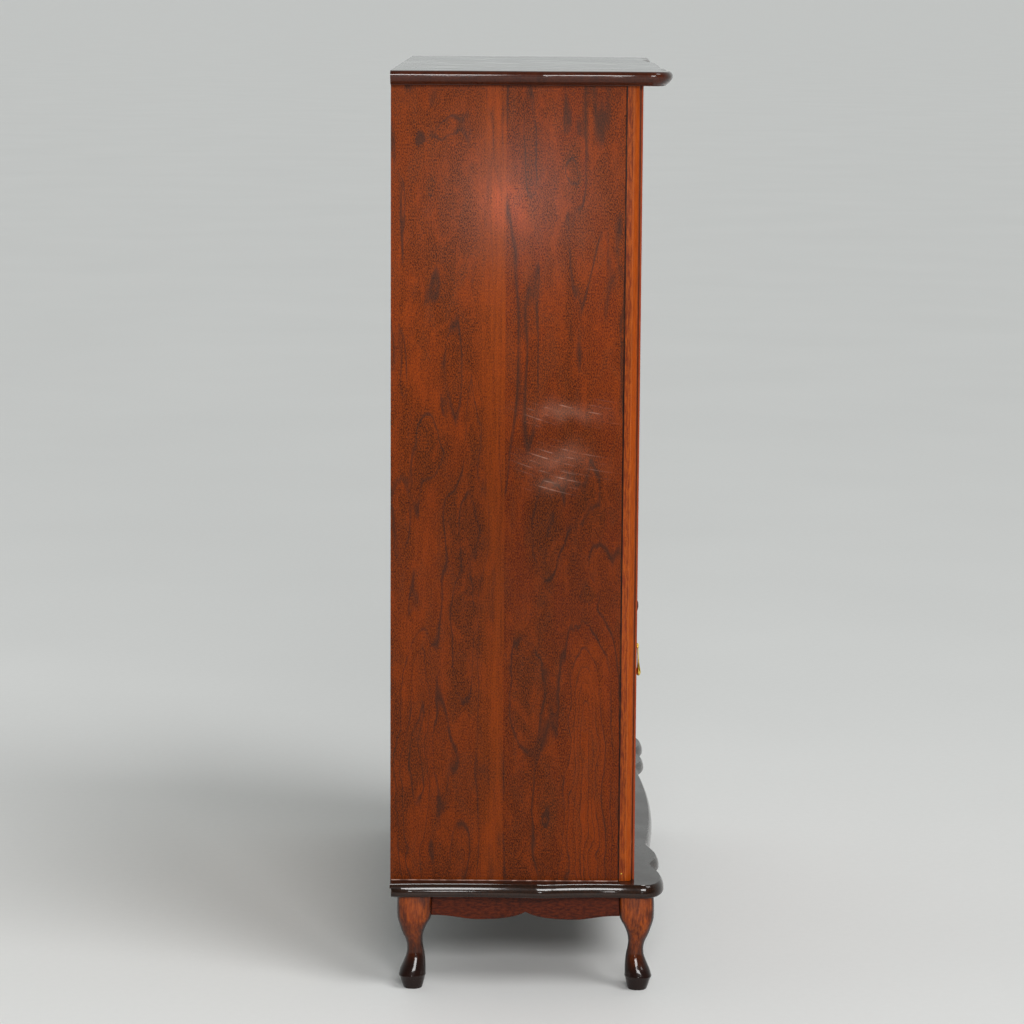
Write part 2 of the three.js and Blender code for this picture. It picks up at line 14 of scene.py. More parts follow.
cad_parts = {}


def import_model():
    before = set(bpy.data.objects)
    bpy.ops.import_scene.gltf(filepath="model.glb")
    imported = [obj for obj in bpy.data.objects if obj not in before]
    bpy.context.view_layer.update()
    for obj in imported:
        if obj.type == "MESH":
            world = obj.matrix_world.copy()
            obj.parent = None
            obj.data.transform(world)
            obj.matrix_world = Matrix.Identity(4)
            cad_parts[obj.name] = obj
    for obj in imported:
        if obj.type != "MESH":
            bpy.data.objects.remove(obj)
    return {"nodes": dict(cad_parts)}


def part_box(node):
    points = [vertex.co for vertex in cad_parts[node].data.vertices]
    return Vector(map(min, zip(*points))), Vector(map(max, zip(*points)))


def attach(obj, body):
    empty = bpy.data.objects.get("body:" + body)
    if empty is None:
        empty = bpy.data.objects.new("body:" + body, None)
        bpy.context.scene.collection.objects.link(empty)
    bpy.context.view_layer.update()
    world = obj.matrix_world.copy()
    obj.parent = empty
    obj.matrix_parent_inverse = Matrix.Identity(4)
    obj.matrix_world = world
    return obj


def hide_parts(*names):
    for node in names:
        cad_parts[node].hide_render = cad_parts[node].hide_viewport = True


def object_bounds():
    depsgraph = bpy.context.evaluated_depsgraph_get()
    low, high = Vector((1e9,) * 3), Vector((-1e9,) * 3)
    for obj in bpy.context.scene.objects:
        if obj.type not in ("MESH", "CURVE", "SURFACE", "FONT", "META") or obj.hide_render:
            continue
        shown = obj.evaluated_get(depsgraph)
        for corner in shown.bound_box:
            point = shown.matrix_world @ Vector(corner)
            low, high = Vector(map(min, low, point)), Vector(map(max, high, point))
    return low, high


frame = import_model()
CAD_LOW, CAD_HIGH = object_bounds()

MM = 0.001
BACK = CAD_HIGH.y
SIDES = {"left": -1, "right": 1}
X, Y, Z = Vector((1, 0, 0)), Vector((0, 1, 0)), Vector((0, 0, 1))


# ---------------------------------------------------------------- flat curves, in any unit

def along_curve(handles, share):
    """The point of a Bezier curve with these handles, by repeated interpolation."""
    points = [tuple(p) for p in handles]
    while len(points) > 1:
        pairs = zip(points, points[1:])
        points = [tuple(a + (b - a) * share for a, b in zip(p, q)) for p, q in pairs]
    return points[0]


def path(start, *segments, steps=8):
    """Points along joined segments: each is its end alone for a line, or handles and end."""
    made = [tuple(start)]
    for segment in segments:
        segment = [segment] if not isinstance(segment[0], tuple) else list(segment)
        count = 1 if len(segment) == 1 else steps
        handles = [made[-1], *segment]
        made += [along_curve(handles, (i + 1) / count) for i in range(count)]
    return made


def spline(stations, steps):
    """Smooth values through a list of stations, which are tuples of numbers."""
    made = []
    for i in range(len(stations) - 1):
        before, here, there = stations[max(i - 1, 0)], stations[i], stations[i + 1]
        after = stations[min(i + 2, len(stations) - 1)]
        for step in range(steps):
            t = step / steps
            made.append(tuple(
                0.5 * (2 * b + (c - a) * t + (2 * a - 5 * b + 4 * c - d) * t * t
                       + (3 * b - a - 3 * c + d) * t ** 3)
                for a, b, c, d in zip(before, here, there, after)))
    return made + [tuple(stations[-1])]


def angles(turn, steps):
    """Evenly spaced angles over a turn, with both its ends."""
    return [turn * i / steps for i in range(steps + 1)]


def all_round(count):
    """Evenly spaced angles round a circle."""
    return angles(2 * math.pi, count)[:-1]


# ---------------------------------------------------------------- surfaces

def placed(name, data):
    """A new object in the scene."""
    obj = bpy.data.objects.new(name, data)
    bpy.context.scene.collection.objects.link(obj)
    return obj


class Carving:
    """Collects closed surfaces, in metres, and turns them into one named piece."""

    def __init__(self):
        self.points, self.faces = [], []

    def loft(self, rings, capped=True, closed=False):
        """A skin over rings of equally many points: capped at its ends, or closed into a loop."""
        start, count = len(self.points), len(rings[0])
        self.points += [tuple(p) for ring in rings for p in ring]
        last = len(rings) if closed else len(rings) - 1
        for row in range(last):
            a = start + row * count
            b = start + ((row + 1) % len(rings)) * count
            for i in range(count):
                j = (i + 1) % count
                self.faces.append((a + i, a + j, b + j, b + i))
        if capped and not closed:
            end = start + (len(rings) - 1) * count
            self.faces.append(tuple(start + i for i in reversed(range(count))))
            self.faces.append(tuple(end + i for i in range(count)))
        return self

    def lathe(self, profile, origin, axis=Z, count=32):
        """Turns a profile of (radius, height) steps, in millimetres, about an axis."""
        axis = Vector(axis).normalized()
        across = axis.orthogonal().normalized()
        other = axis.cross(across)
        turns = all_round(count)
        rings = []
        for radius, height in profile:
            centre = Vector(origin) + axis * height * MM
            reach = max(radius, 0.01) * MM
            rings.append([centre + (across * math.cos(t) + other * math.sin(t)) * reach
                          for t in turns])
        return self.loft(rings)

    def extrude(self, outline, start, end):
        """Pulls a flat outline of 3-D points along from start to end, two vectors."""
        return self.loft([[Vector(p) + offset for p in outline] for offset in (start, end)])

    def block(self, low, high):
        (a, b, c), (d, e, f) = low, high
        floor = [(a, b, 0), (d, b, 0), (d, e, 0), (a, e, 0)]
        return self.extrude(floor, Z * c, Z * f)

    def mitred(self, centre, half_x, half_z, profile, closed=True):
        """A rectangular frame in a plane that faces -Y. The profile's steps are the inset from
        the outer edge and the y, both in metres; open, it makes a solid panel instead."""
        rings = []
        for sx, sz in ((-1, -1), (1, -1), (1, 1), (-1, 1)):
            rings.append([(centre.x + sx * (half_x - inset), y, centre.z + sz * (half_z - inset))
                          for inset, y in profile])
        if closed:
            return self.loft(rings, closed=True)
        return self.loft([[ring[i] for ring in rings] for i in range(len(profile))])

    def piece(self, name, finish, body, slot, replaces=(), ease=0.0, smooth=35):
        """Makes the object, with a finish named in FINISHES. ease rounds its sharp edges, in metres."""
        mesh = bpy.data.meshes.new(name)
        mesh.from_pydata(self.points, [], self.faces)
        work = bmesh.new()
        work.from_mesh(mesh)
        bmesh.ops.recalc_face_normals(work, faces=work.faces)
        work.to_mesh(mesh)
        work.free()
        shade_smooth(mesh, smooth)
        obj = placed(name, mesh)
        mesh.materials.append(FINISHES[finish])
        if ease:
            add_bevel(obj, ease)
        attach(obj, body)
        if replaces:
            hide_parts(*replaces)
        return obj


def shade_smooth(mesh, angle):
    mesh.polygons.foreach_set("use_smooth", [True] * len(mesh.polygons))
    mesh.set_sharp_from_angle(angle=math.radians(angle))


def add_bevel(obj, width):
    bevel = obj.modifiers.new("eased_edges", "BEVEL")
    bevel.width = width
    bevel.segments = 3
    bevel.limit_method = "ANGLE"
    bevel.angle_limit = math.radians(38)
    bevel.harden_normals = True
    bevel.use_clamp_overlap = True


def dress(node, finish, ease=0.0008):
    """Gives a CAD node one of the FINISHES and eases its edges, leaving its mesh as it is."""
    obj = frame["nodes"][node]
    obj.data.materials.clear()
    obj.data.materials.append(FINISHES[finish])
    weld = obj.modifiers.new("weld", "WELD")
    weld.merge_threshold = 1e-5
    add_bevel(obj, ease)


# ---------------------------------------------------------------- finishes

class Finish:
    """A material, and calls that add nodes to it. They take numbers or sockets and give sockets."""

    def __init__(self, name):
        self.material = bpy.data.materials.new(name)
        self.material.use_nodes = True
        self.tree = self.material.node_tree
        self.tree.nodes.clear()
        self.place = self.add("ShaderNodeTexCoord").outputs["Object"]

    def add(self, kind, feeds=None, **settings):
        node = self.tree.nodes.new(kind)
        for key, value in settings.items():
            setattr(node, key, value)
        for key, value in (feeds or {}).items():
            self.feed(node.inputs[key], value)
        return node

    def feed(self, socket, value):
        if isinstance(value, bpy.types.NodeSocket):
            self.tree.links.new(value, socket)
        elif socket.type == "RGBA" and len(value) == 3:
            socket.default_value = (*value, 1)
        else:
            socket.default_value = value

    def math(self, operation, a, b=0.0):
        return self.add("ShaderNodeMath", {0: a, 1: b}, operation=operation).outputs[0]

    def chain(self, operation, values):
        total = values[0]
        for value in values[1:]:
            total = self.math(operation, total, value)
        return total

    def times(self, *factors):
        return self.chain("MULTIPLY", factors)

    def plus(self, *terms):
        return self.chain("ADD", terms)

    def vector(self, operation, a, b=(0, 0, 0)):
        return self.add("ShaderNodeVectorMath", {0: a, 1: b}, operation=operation).outputs

    def split(self, vector):
        return self.add("ShaderNodeSeparateXYZ", {0: vector}).outputs

    def rescale(self, value, low, high, to_low=0.0, to_high=1.0, smooth=True):
        """Maps a value from one range to another and clamps it there."""
        kind = "SMOOTHSTEP" if smooth else "LINEAR"
        feeds = {"Value": value, "From Min": low, "From Max": high,
                 "To Min": to_low, "To Max": to_high}
        return self.add("ShaderNodeMapRange", feeds, interpolation_type=kind).outputs[0]

    def noise(self, scales, detail=3.0, rough=0.5, warp=0.0, place=None):
        """Noise from 0 to 1, about 0.5. scales are its cells per metre along x, y and z."""
        where = self.vector("MULTIPLY", place or self.place, scales)[0]
        feeds = {"Vector": where, "Scale": 1.0, "Detail": detail, "Roughness": rough,
                 "Distortion": warp}
        return self.add("ShaderNodeTexNoise", feeds).outputs["Fac"]

    def mix(self, share, a, b):
        return self.add("ShaderNodeMix", {0: share, 6: a, 7: b}, data_type="RGBA").outputs[2]

    def edge(self, radius):
        """1 on edges that stick out or in, 0 on flats."""
        rounded = self.add("ShaderNodeBevel", {"Radius": radius}, samples=4).outputs[0]
        flat = self.add("ShaderNodeNewGeometry").outputs["Normal"]
        agreement = self.vector("DOT_PRODUCT", rounded, flat)["Value"]
        return self.rescale(agreement, 1.0, 0.75)

    def bump(self, height, distance, strength=1.0, normal=None):
        feeds = {"Height": height, "Distance": distance, "Strength": strength}
        if normal is not None:
            feeds["Normal"] = normal
        return self.add("ShaderNodeBump", feeds).outputs[0]

    def done(self, **feeds):
        """Ends the material with a Principled shader. Feed names use _ for a space."""
        named = {key.replace("_", " "): value for key, value in feeds.items()}
        shader = self.add("ShaderNodeBsdfPrincipled", named).outputs[0]
        self.add("ShaderNodeOutputMaterial", {"Surface": shader})
        return self.material


def srgb(red, green, blue):
    """Linear colour from 0 to 255 values as seen on a screen."""
    linear = lambda c: c / 12.92 if c <= 0.04045 else ((c + 0.055) / 1.055) ** 2.4
    return tuple(linear(c / 255) for c in (red, green, blue))


def grain_scales(along, across_cells, along_cells):
    """Noise scales whose cells are stretched along one axis, "x", "y" or "z"."""
    return tuple(along_cells if axis == along else across_cells for axis in "xyz")


def shifted_by_piece(made):
    """Coordinates that differ from piece to piece, as boards cut from different places do."""
    random = made.add("ShaderNodeObjectInfo").outputs["Random"]
    shift = made.add("ShaderNodeCombineXYZ", {0: made.times(random, 7.3),
                                              1: made.times(random, 3.1),
                                              2: made.times(random, 5.7)}).outputs[0]
    return made.vector("ADD", made.place, shift)[0], random


def pores_and_flecks(made, along, place, flecks):
    """Fine open pores, and bright flecks of so many cells per metre across and along the grain."""
    fine = made.noise(grain_scales(along, 1300, 480), 2, 0.6, place=place)
    pores = made.rescale(fine, 0.53, 0.72)
    bright = made.noise(grain_scales(along, *flecks), 3, 0.65, place=place)
    return pores, made.rescale(bright, 0.38, 0.62)


# Colour of painted shade, in corners and where a surface turns away from the view
PAINTED_SHADE = srgb(26, 12, 7)


def in_corners(made):
    """1 in tight corners, 0 in the open, found by ambient occlusion: it places painted shade in the woods'
    corners and tarnish in the brass's creases.
    """
    open_share = made.add("ShaderNodeAmbientOcclusion", {"Distance": 0.010}, samples=16).outputs["AO"]
    return made.rescale(open_share, 0.50, 0.22)


def lacquer_bumps(made, pores, along):
    """Normals of the wood, with its pores, and of the lacquer, which has hardly any."""
    ripple = made.noise(grain_scales(along, 70, 14), 2)
    wood = made.bump(pores, -0.00004, 0.6)
    lacquer = made.bump(ripple, 0.00006, 0.35, made.bump(pores, -0.00002, 0.35))
    return wood, lacquer


def lines_of(made, height, count, width):
    """Thin dark lines where a height field crosses evenly spaced levels."""
    saw = made.math("PINGPONG", made.times(height, count), 0.5)
    return made.rescale(saw, width, 0.0)


def scaled_colour(made, colour, share):
    """A colour times a number."""
    node = made.add("ShaderNodeVectorMath", {0: colour}, operation="SCALE")
    made.feed(node.inputs["Scale"], share)
    return node.outputs[0]


def grain_colour(made, along, place, tones, flecks, lines, streaky, open_pores):
    """Broad bands, fine streaks, drawn lines and pores in a light, a base and a deep tone; and how
    open the pores are."""
    light, base, deep = tones
    pores, streaks = pores_and_flecks(made, along, place, flecks)
    pores = made.times(pores, open_pores)
    broad = made.rescale(made.noise(grain_scales(along, 60, 6), 4, 0.62, place=place), 0.34, 0.66)
    field = made.noise(grain_scales(along, 13, 1.0), 1.5, 0.4, 0.25, place=place)
    broken = made.rescale(made.noise(grain_scales(along, 30, 9), 2, place=place), 0.4, 0.6)
    drawn = made.times(lines_of(made, field, 9, 0.10), broken)
    colour = made.mix(made.times(broad, 0.6), base, deep)
    colour = made.mix(made.times(streaks, streaky), colour, light)
    colour = made.mix(made.times(drawn, lines), colour, deep)
    return made.mix(pores, colour, deep), pores


def painted_rim_shade(made, colour, share):
    """Painted shade that darkens the colour where the surface turns away from the view."""
    turned = made.add("ShaderNodeLayerWeight", {"Blend": 0.4}).outputs["Facing"]
    return made.mix(made.times(made.rescale(turned, 0.14, 0.66), share), colour, PAINTED_SHADE)


def wood(name, along, light, base, deep, worn, lines=0.5, coat=0.35, coat_rough=0.12, wear=0.5,
         rough=0.34, tint=None, flecks=(330, 16), streaky=0.4, open_pores=0.4, rim=0.0):
    """Lacquered wood with the grain along one axis. worn is the colour that edges wear to, and
    tint a function that changes the colour before the wear."""
    made = Finish(name)
    place, random = shifted_by_piece(made)
    colour, pores = grain_colour(made, along, place, (light, base, deep), flecks, lines, streaky,
                                 open_pores)
    colour = scaled_colour(made, colour, made.rescale(random, 0, 1, 0.88, 1.08))
    if tint:
        colour = tint(made, colour)
    rub = made.rescale(made.noise((55, 55, 55), 3), 0.42, 0.66)
    bare = made.times(made.edge(0.0014), rub, wear)
    colour = made.mix(bare, colour, worn)
    # Painted shade in tight corners
    colour = made.mix(made.times(in_corners(made), 0.7), colour, PAINTED_SHADE)
    # rim is the strength of painted shade where the surface turns away from the view
    if rim:
        colour = painted_rim_shade(made, colour, rim)
    wood_normal, lacquer = lacquer_bumps(made, pores, along)
    patchy = made.rescale(made.noise((22, 22, 22), 3), 0.3, 0.7, rough - 0.05, rough + 0.07)
    return made.done(Base_Color=colour, Roughness=made.plus(patchy, made.times(bare, 0.2)),
                     Normal=wood_normal, Coat_Normal=lacquer, Coat_Weight=coat,
                     Coat_Roughness=coat_rough, Coat_IOR=1.4, Specular_IOR_Level=0.05)


# Figure of the side veneer. Dark hearts: depth, height, half width, half height
# and strength. Flames are arches that run on downwards: depth, top, half width, run and strength.
JOINT_DEPTH = 147
HEARTS = [
    (60, 1124, 34, 26, 0.7), (53, 1058, 8, 16, 0.9), (66, 925, 30, 60, 0.55), (52, 720, 20, 46, 1.0),
    (102, 735, 13, 44, 0.7), (97, 618, 27, 62, 1.2), (95, 520, 15, 44, 0.7), (97, 440, 24, 80, 1.0),
    (20, 640, 20, 90, 0.5), (30, 300, 22, 90, 0.6), (228, 1072, 12, 42, 1.0), (172, 1090, 10, 80, 0.5),
    (201, 606, 23, 70, 1.1), (176, 412, 20, 74, 1.0), (252, 528, 12, 15, 0.9), (262, 640, 22, 60, 0.6),
    (204, 240, 14, 60, 0.7), (128, 300, 16, 90, 0.4),
]
FLAMES = [(34, 505, 19, 90, 0.7), (258, 530, 33, 150, 0.9), (254, 468, 13, 110, 0.8),
          (232, 330, 12, 90, 0.4), (88, 330, 24, 160, 0.4)]
# Scuffs in the lacquer: depth, height, half width, half height
SCUFFS = [(226, 768, 44, 13), (220, 700, 40, 17), (212, 664, 22, 12)]
VENEER_FADE = (0.50, 0.66)  # how much of its colour the veneer keeps at its foot and at its head
DUSK = (200, 620, 180, 170)  # the darkest part of the sides: depth, height, half width, half height
RINGS = 3  # growth lines for each unit of the figure's height
SAG = 1.0  # rise of a scratch, in metres, for each square metre away from its middle
SLANT = 0.26  # fall of a scratch towards the front, in metres for each metre
SCRATCHES_PER_METRE = 110
HAZE = 0.22  # strength of the haze between scratches
VENEER = {
    "light": srgb(202, 90, 22), "base": srgb(120, 47, 18), "deep": srgb(62, 28, 15),
    "red": srgb(102, 36, 18), "deep_red": srgb(52, 22, 13), "band": srgb(152, 65, 17),
    "flame": srgb(174, 70, 20), "heart": srgb(42, 28, 19), "line": srgb(64, 45, 35),
    "pore": srgb(44, 18, 8), "smoke": srgb(84, 50, 34), "scuff": srgb(206, 158, 138),
}


def spot(made, place, depth, height, half_width, half_height):
    """1 at a place on the side panels, fading to 0 past its half width and half height."""
    centre = (0, BACK - depth * MM, height * MM)
    away = made.vector("SUBTRACT", place, centre)[0]
    away = made.vector("MULTIPLY", away, (0, 1 / (half_width * MM), 1 / (half_height * MM)))[0]
    squared = made.vector("DOT_PRODUCT", away, away)["Value"]
    return made.math("EXPONENT", made.times(squared, -1.0))


def hearts_of(made, place):
    """The sum of the figure's dark hearts."""
    total = 0.0
    for *where, strength in HEARTS:
        total = made.plus(total, made.times(spot(made, place, *where), strength))
    return total


def flames_of(made, place):
    """The sum of ridges that rise below each flame's top: their contours are nested arches."""
    total = 0.0
    _, y, z = made.split(place)
    for depth, top, half_width, run, strength in FLAMES:
        off = made.times(made.plus(y, -(BACK - depth * MM)), 1 / (half_width * MM))
        across = made.math("EXPONENT", made.times(off, off, -1.0))
        down = made.rescale(z, top * MM, (top - run) * MM)
        total = made.plus(total, made.times(across, down, strength))
    return total


def wandering(made):
    """The material's place, shifted a little to and fro, so that figure drawn on it wanders."""
    other = made.vector("ADD", made.place, (3, 1, 2))[0]
    slow, fast = (made.plus(made.noise(cells, 2, place=other), -0.5) for cells in ((9, 20, 9), (40, 60, 32)))
    up = made.plus(made.noise((9, 16, 8), 2), -0.5)
    shift = made.add("ShaderNodeCombineXYZ", {
        0: 0.0, 1: made.plus(made.times(slow, 0.034), made.times(fast, 0.009)),
        2: made.times(up, 0.06)}).outputs[0]
    return made.vector("ADD", made.place, shift)[0]


def scraped_by(made, place, scuffs):
    """Pale, nearly level scratches that hang in shallow curves, with a haze round each group."""
    total = 0.0
    _, y, z = made.split(made.place)
    torn = made.rescale(made.noise((22, 22, 150), 3), 0.47, 0.60)
    for depth, height, half_width, half_height in scuffs:
        window = spot(made, place, depth, height, half_width, half_height)
        off = made.plus(y, -(BACK - depth * MM))
        hung = made.plus(z, made.times(off, off, -SAG), made.times(off, -SLANT))
        line = made.times(lines_of(made, hung, SCRATCHES_PER_METRE, 0.13), torn)
        total = made.plus(total, made.times(window, made.plus(line, HAZE)))
    return total


def leaf_colours(made, place, broad):
    """The back leaf, with its bright band along the joint, and the redder front leaf; and 1 where
    there is no band."""
    joint = BACK - JOINT_DEPTH * MM
    in_front = made.math("LESS_THAN", made.split(made.place)[1], joint)
    back_leaf = made.mix(broad, VENEER["base"], VENEER["deep"])
    edge = made.rescale(made.plus(made.split(place)[1], made.split(made.place)[1]),
                        2 * joint + 0.096, 2 * joint + 0.026)
    edge = made.times(edge, made.rescale(made.noise((40, 170, 7), 4, 0.65), 0.32, 0.62, 0.35, 1.0))
    back_leaf = made.mix(made.times(edge, 0.9), back_leaf, VENEER["band"])
    front_leaf = made.mix(broad, VENEER["red"], VENEER["deep_red"])
    band = made.times(edge, made.math("SUBTRACT", 1.0, in_front))
    plain = made.math("SUBTRACT", 1.0, made.times(band, 0.85))
    return made.mix(in_front, back_leaf, front_leaf), plain


def growth(made):
    """A height field whose contours are the growth lines."""
    return made.times(made.noise((7, 15, 2.0), 3, 0.5, 0.4), 2.6)


def plain_figure(made, broad):
    """Colour, height field and dark patches of a plain sheet, and 1, as no part of it is a band."""
    dark = made.rescale(made.noise((9, 16, 5), 3), 0.52, 0.60)
    return made.mix(broad, VENEER["base"], VENEER["deep"]), growth(made), dark, 1.0


def side_figure(made, place, broad):
    """The same for the side panels: two leaves, with the listed figure."""
    colour, plain = leaf_colours(made, place, broad)
    hearts, flames = hearts_of(made, place), flames_of(made, place)
    field = made.plus(made.times(growth(made), 0.6), made.times(hearts, 0.5), flames)
    torn = made.times(made.plus(made.noise((14, 28, 11), 4, 0.6, 0.5), -0.5), 1.5)
    dark = made.rescale(made.plus(hearts, torn), 0.26, 0.62)
    colour = made.mix(made.times(made.rescale(flames, 0.2, 1.2), 0.5), colour, VENEER["flame"])
    colour = made.mix(made.times(made.rescale(hearts, 0.1, 0.9), 0.6), colour, VENEER["heart"])
    return colour, field, dark, plain


def ringed(made, colour, field, dark, plain):
    """Shade that builds up to each growth line and drops past it, and the dark hearts."""
    ring = made.math("FRACT", made.times(field, RINGS))
    shade = made.times(made.rescale(ring, 0.2, 1.0), 0.5, plain)
    colour = made.mix(shade, colour, VENEER["deep"])
    return made.mix(made.times(dark, 0.78, plain), colour, VENEER["heart"])


def clouded(made, colour, plain):
    """Flame-coloured patches, a smoky haze, and dark streaks along the grain."""
    elsewhere = made.vector("ADD", made.place, (1, 2, 3))[0]
    patches = made.rescale(made.noise((25, 44, 20), 5, 0.6, 0.8), 0.46, 0.66)
    haze = made.rescale(made.noise((18, 34, 13), 5, 0.65, 1.2, elsewhere), 0.48, 0.66)
    streaks = made.rescale(made.noise((380, 380, 11), 4, 0.65), 0.36, 0.64)
    colour = made.mix(made.times(patches, 0.45), colour, VENEER["flame"])
    colour = made.mix(made.times(haze, 0.45, plain), colour, VENEER["smoke"])
    return made.mix(made.times(streaks, 0.34), colour, VENEER["deep"])


def grey_lines(made, colour, field, plain):
    """The growth lines themselves, grey and broken."""
    broken = made.rescale(made.noise((30, 45, 16), 4, 0.6), 0.30, 0.56)
    grey = made.times(lines_of(made, field, RINGS, 0.11), broken)
    return made.mix(made.times(grey, 0.7, plain), colour, VENEER["line"])


def darker_low(made, colour):
    """The colour fades towards the foot, and most in one place."""
    fade = made.rescale(made.split(made.place)[2], 0.2, 1.05, *VENEER_FADE)
    dusk = made.plus(made.times(spot(made, made.place, *DUSK), -0.28), 1.0)
    return scaled_colour(made, colour, made.times(fade, dusk))


def veneer(name, leaves):
    """Walnut veneer: contour lines round smoky hearts and flames, over a fine bright speckle.
    leaves gives it the side panels' two leaves, listed figure and scuffs."""
    made = Finish(name)
    pores, speckle = pores_and_flecks(made, "z", made.place, (950, 420))
    bright, open_pores = (0.55, 0.4) if leaves else (0.3, 0.15)
    place = wandering(made)
    broad = made.rescale(made.noise((6, 16, 3.4), 5, 0.62, 0.6), 0.38, 0.62)
    figure = side_figure(made, place, broad) if leaves else plain_figure(made, broad)
    colour, field, dark, plain = figure
    colour = ringed(made, colour, field, dark, plain)
    colour = clouded(made, colour, plain)
    colour = made.mix(made.times(speckle, bright), colour, VENEER["light"])
    colour = grey_lines(made, colour, field, plain)
    colour = made.mix(made.times(pores, open_pores), colour, VENEER["pore"])
    colour = darker_low(made, colour)
    # Painted shade in tight corners, such as under the top board
    colour = made.mix(made.times(in_corners(made), 0.8), colour, PAINTED_SHADE)
    roughness = made.rescale(made.noise((14, 14, 14), 3), 0.3, 0.7, 0.30, 0.42)
    if leaves:
        scraped = scraped_by(made, place, SCUFFS)
        colour = made.mix(made.times(scraped, 0.5), colour, VENEER["scuff"])
        roughness = made.plus(roughness, made.times(scraped, 0.25))
    wood_normal, lacquer = lacquer_bumps(made, pores, "z")
    return made.done(Base_Color=colour, Roughness=roughness, Normal=wood_normal,
                     Coat_Normal=lacquer, Coat_Weight=0.16, Coat_IOR=1.35, Coat_Roughness=0.13,
                     Specular_IOR_Level=0.03)


def leg_wood():
    """Reddish at the knee and near black at the foot."""
    def darker_down(made, colour):
        z = made.split(made.place)[2]
        foot = made.rescale(made.plus(z, made.times(made.noise((30, 30, 12), 3), 0.04)), 0.116, 0.046)
        blotch = made.rescale(made.noise((70, 70, 30), 4, 0.6), 0.42, 0.66)
        colour = made.mix(made.times(blotch, 0.6), colour, srgb(48, 18, 9))
        return made.mix(foot, colour, srgb(30, 16, 12))
    return wood("leg_wood", "z", srgb(184, 86, 18), srgb(126, 52, 12), srgb(62, 24, 9),
                srgb(180, 90, 28), lines=0.5, coat=0.65, coat_rough=0.08, wear=0.2, rough=0.26,
                tint=darker_down, flecks=(330, 60), streaky=0.45, open_pores=0.3, rim=1.0)


def dark_moulding(name, base, deep, worn):
    """Near-black glossy wood of the top and base boards."""
    return wood(name, "x", worn, base, deep, worn, lines=0.2, coat=0.8, coat_rough=0.08, wear=0.2,
                rough=0.3, flecks=(500, 90), open_pores=0.15, rim=0.4)


def brass():
    """Worn brass: brighter on the edges, brown in the creases."""
    made = Finish("aged_brass")
    stain = made.rescale(made.noise((240, 240, 240), 4, 0.6), 0.45, 0.75)
    colour = made.mix(stain, srgb(244, 208, 92), srgb(208, 160, 66))
    colour = made.mix(in_corners(made), colour, srgb(70, 44, 20))
    colour = made.mix(made.times(made.edge(0.0005), 0.5), colour, srgb(248, 226, 150))
    scratches = made.noise((900, 900, 120), 3, 0.7)
    return made.done(Base_Color=colour, Metallic=1.0, Normal=made.bump(scratches, 0.00001, 0.4),
                     Roughness=made.rescale(stain, 0, 1, 0.13, 0.26))


def old_glass():
    """Clear glass, faintly smudged, that lets lamps through."""
    made = Finish("old_glass")
    smudge = made.rescale(made.noise((11, 11, 7), 4, 0.6), 0.48, 0.78, 0.0, 0.10)
    wave = made.bump(made.noise((7, 7, 4), 2), 0.0006, 0.3)
    pane = made.add("ShaderNodeBsdfPrincipled", {
        "Base Color": (0.965, 0.985, 0.975), "Roughness": smudge, "Normal": wave,
        "Transmission Weight": 1.0, "IOR": 1.5}).outputs[0]
    opened = made.add("ShaderNodeBsdfTransparent", {"Color": (0.93, 0.95, 0.94)}).outputs[0]
    lamp = made.add("ShaderNodeLightPath").outputs["Is Shadow Ray"]
    made.add("ShaderNodeOutputMaterial", {"Surface": made.add(
        "ShaderNodeMixShader", {0: lamp, 1: pane, 2: opened}).outputs[0]})
    return made.material


def unlacquered(name, along, light, base, deep, rough=0.6):
    """Bare dry wood of the inside and the back."""
    return wood(name, along, light, base, deep, light, lines=0.4, coat=0.0, wear=0.3, rough=rough)


def painted_keyhole_shade():
    """Near-black finish of the disc that is painted shade in the keyhole."""
    made = Finish("keyhole_dark")
    mottle = made.noise((400, 400, 400), 2)
    return made.done(Base_Color=made.mix(mottle, srgb(10, 8, 7), srgb(26, 20, 16)),
                     Roughness=made.rescale(mottle, 0.3, 0.7, 0.6, 0.9),
                     Normal=made.bump(mottle, 0.0001, 0.4))


STILE_STEP, STILE_OVOLO, STILE_BEAD = 1.5 * MM, 6 * MM, 3 * MM
FRAME_TONES = (srgb(176, 84, 18), srgb(124, 48, 12), srgb(66, 22, 10), srgb(176, 92, 34))


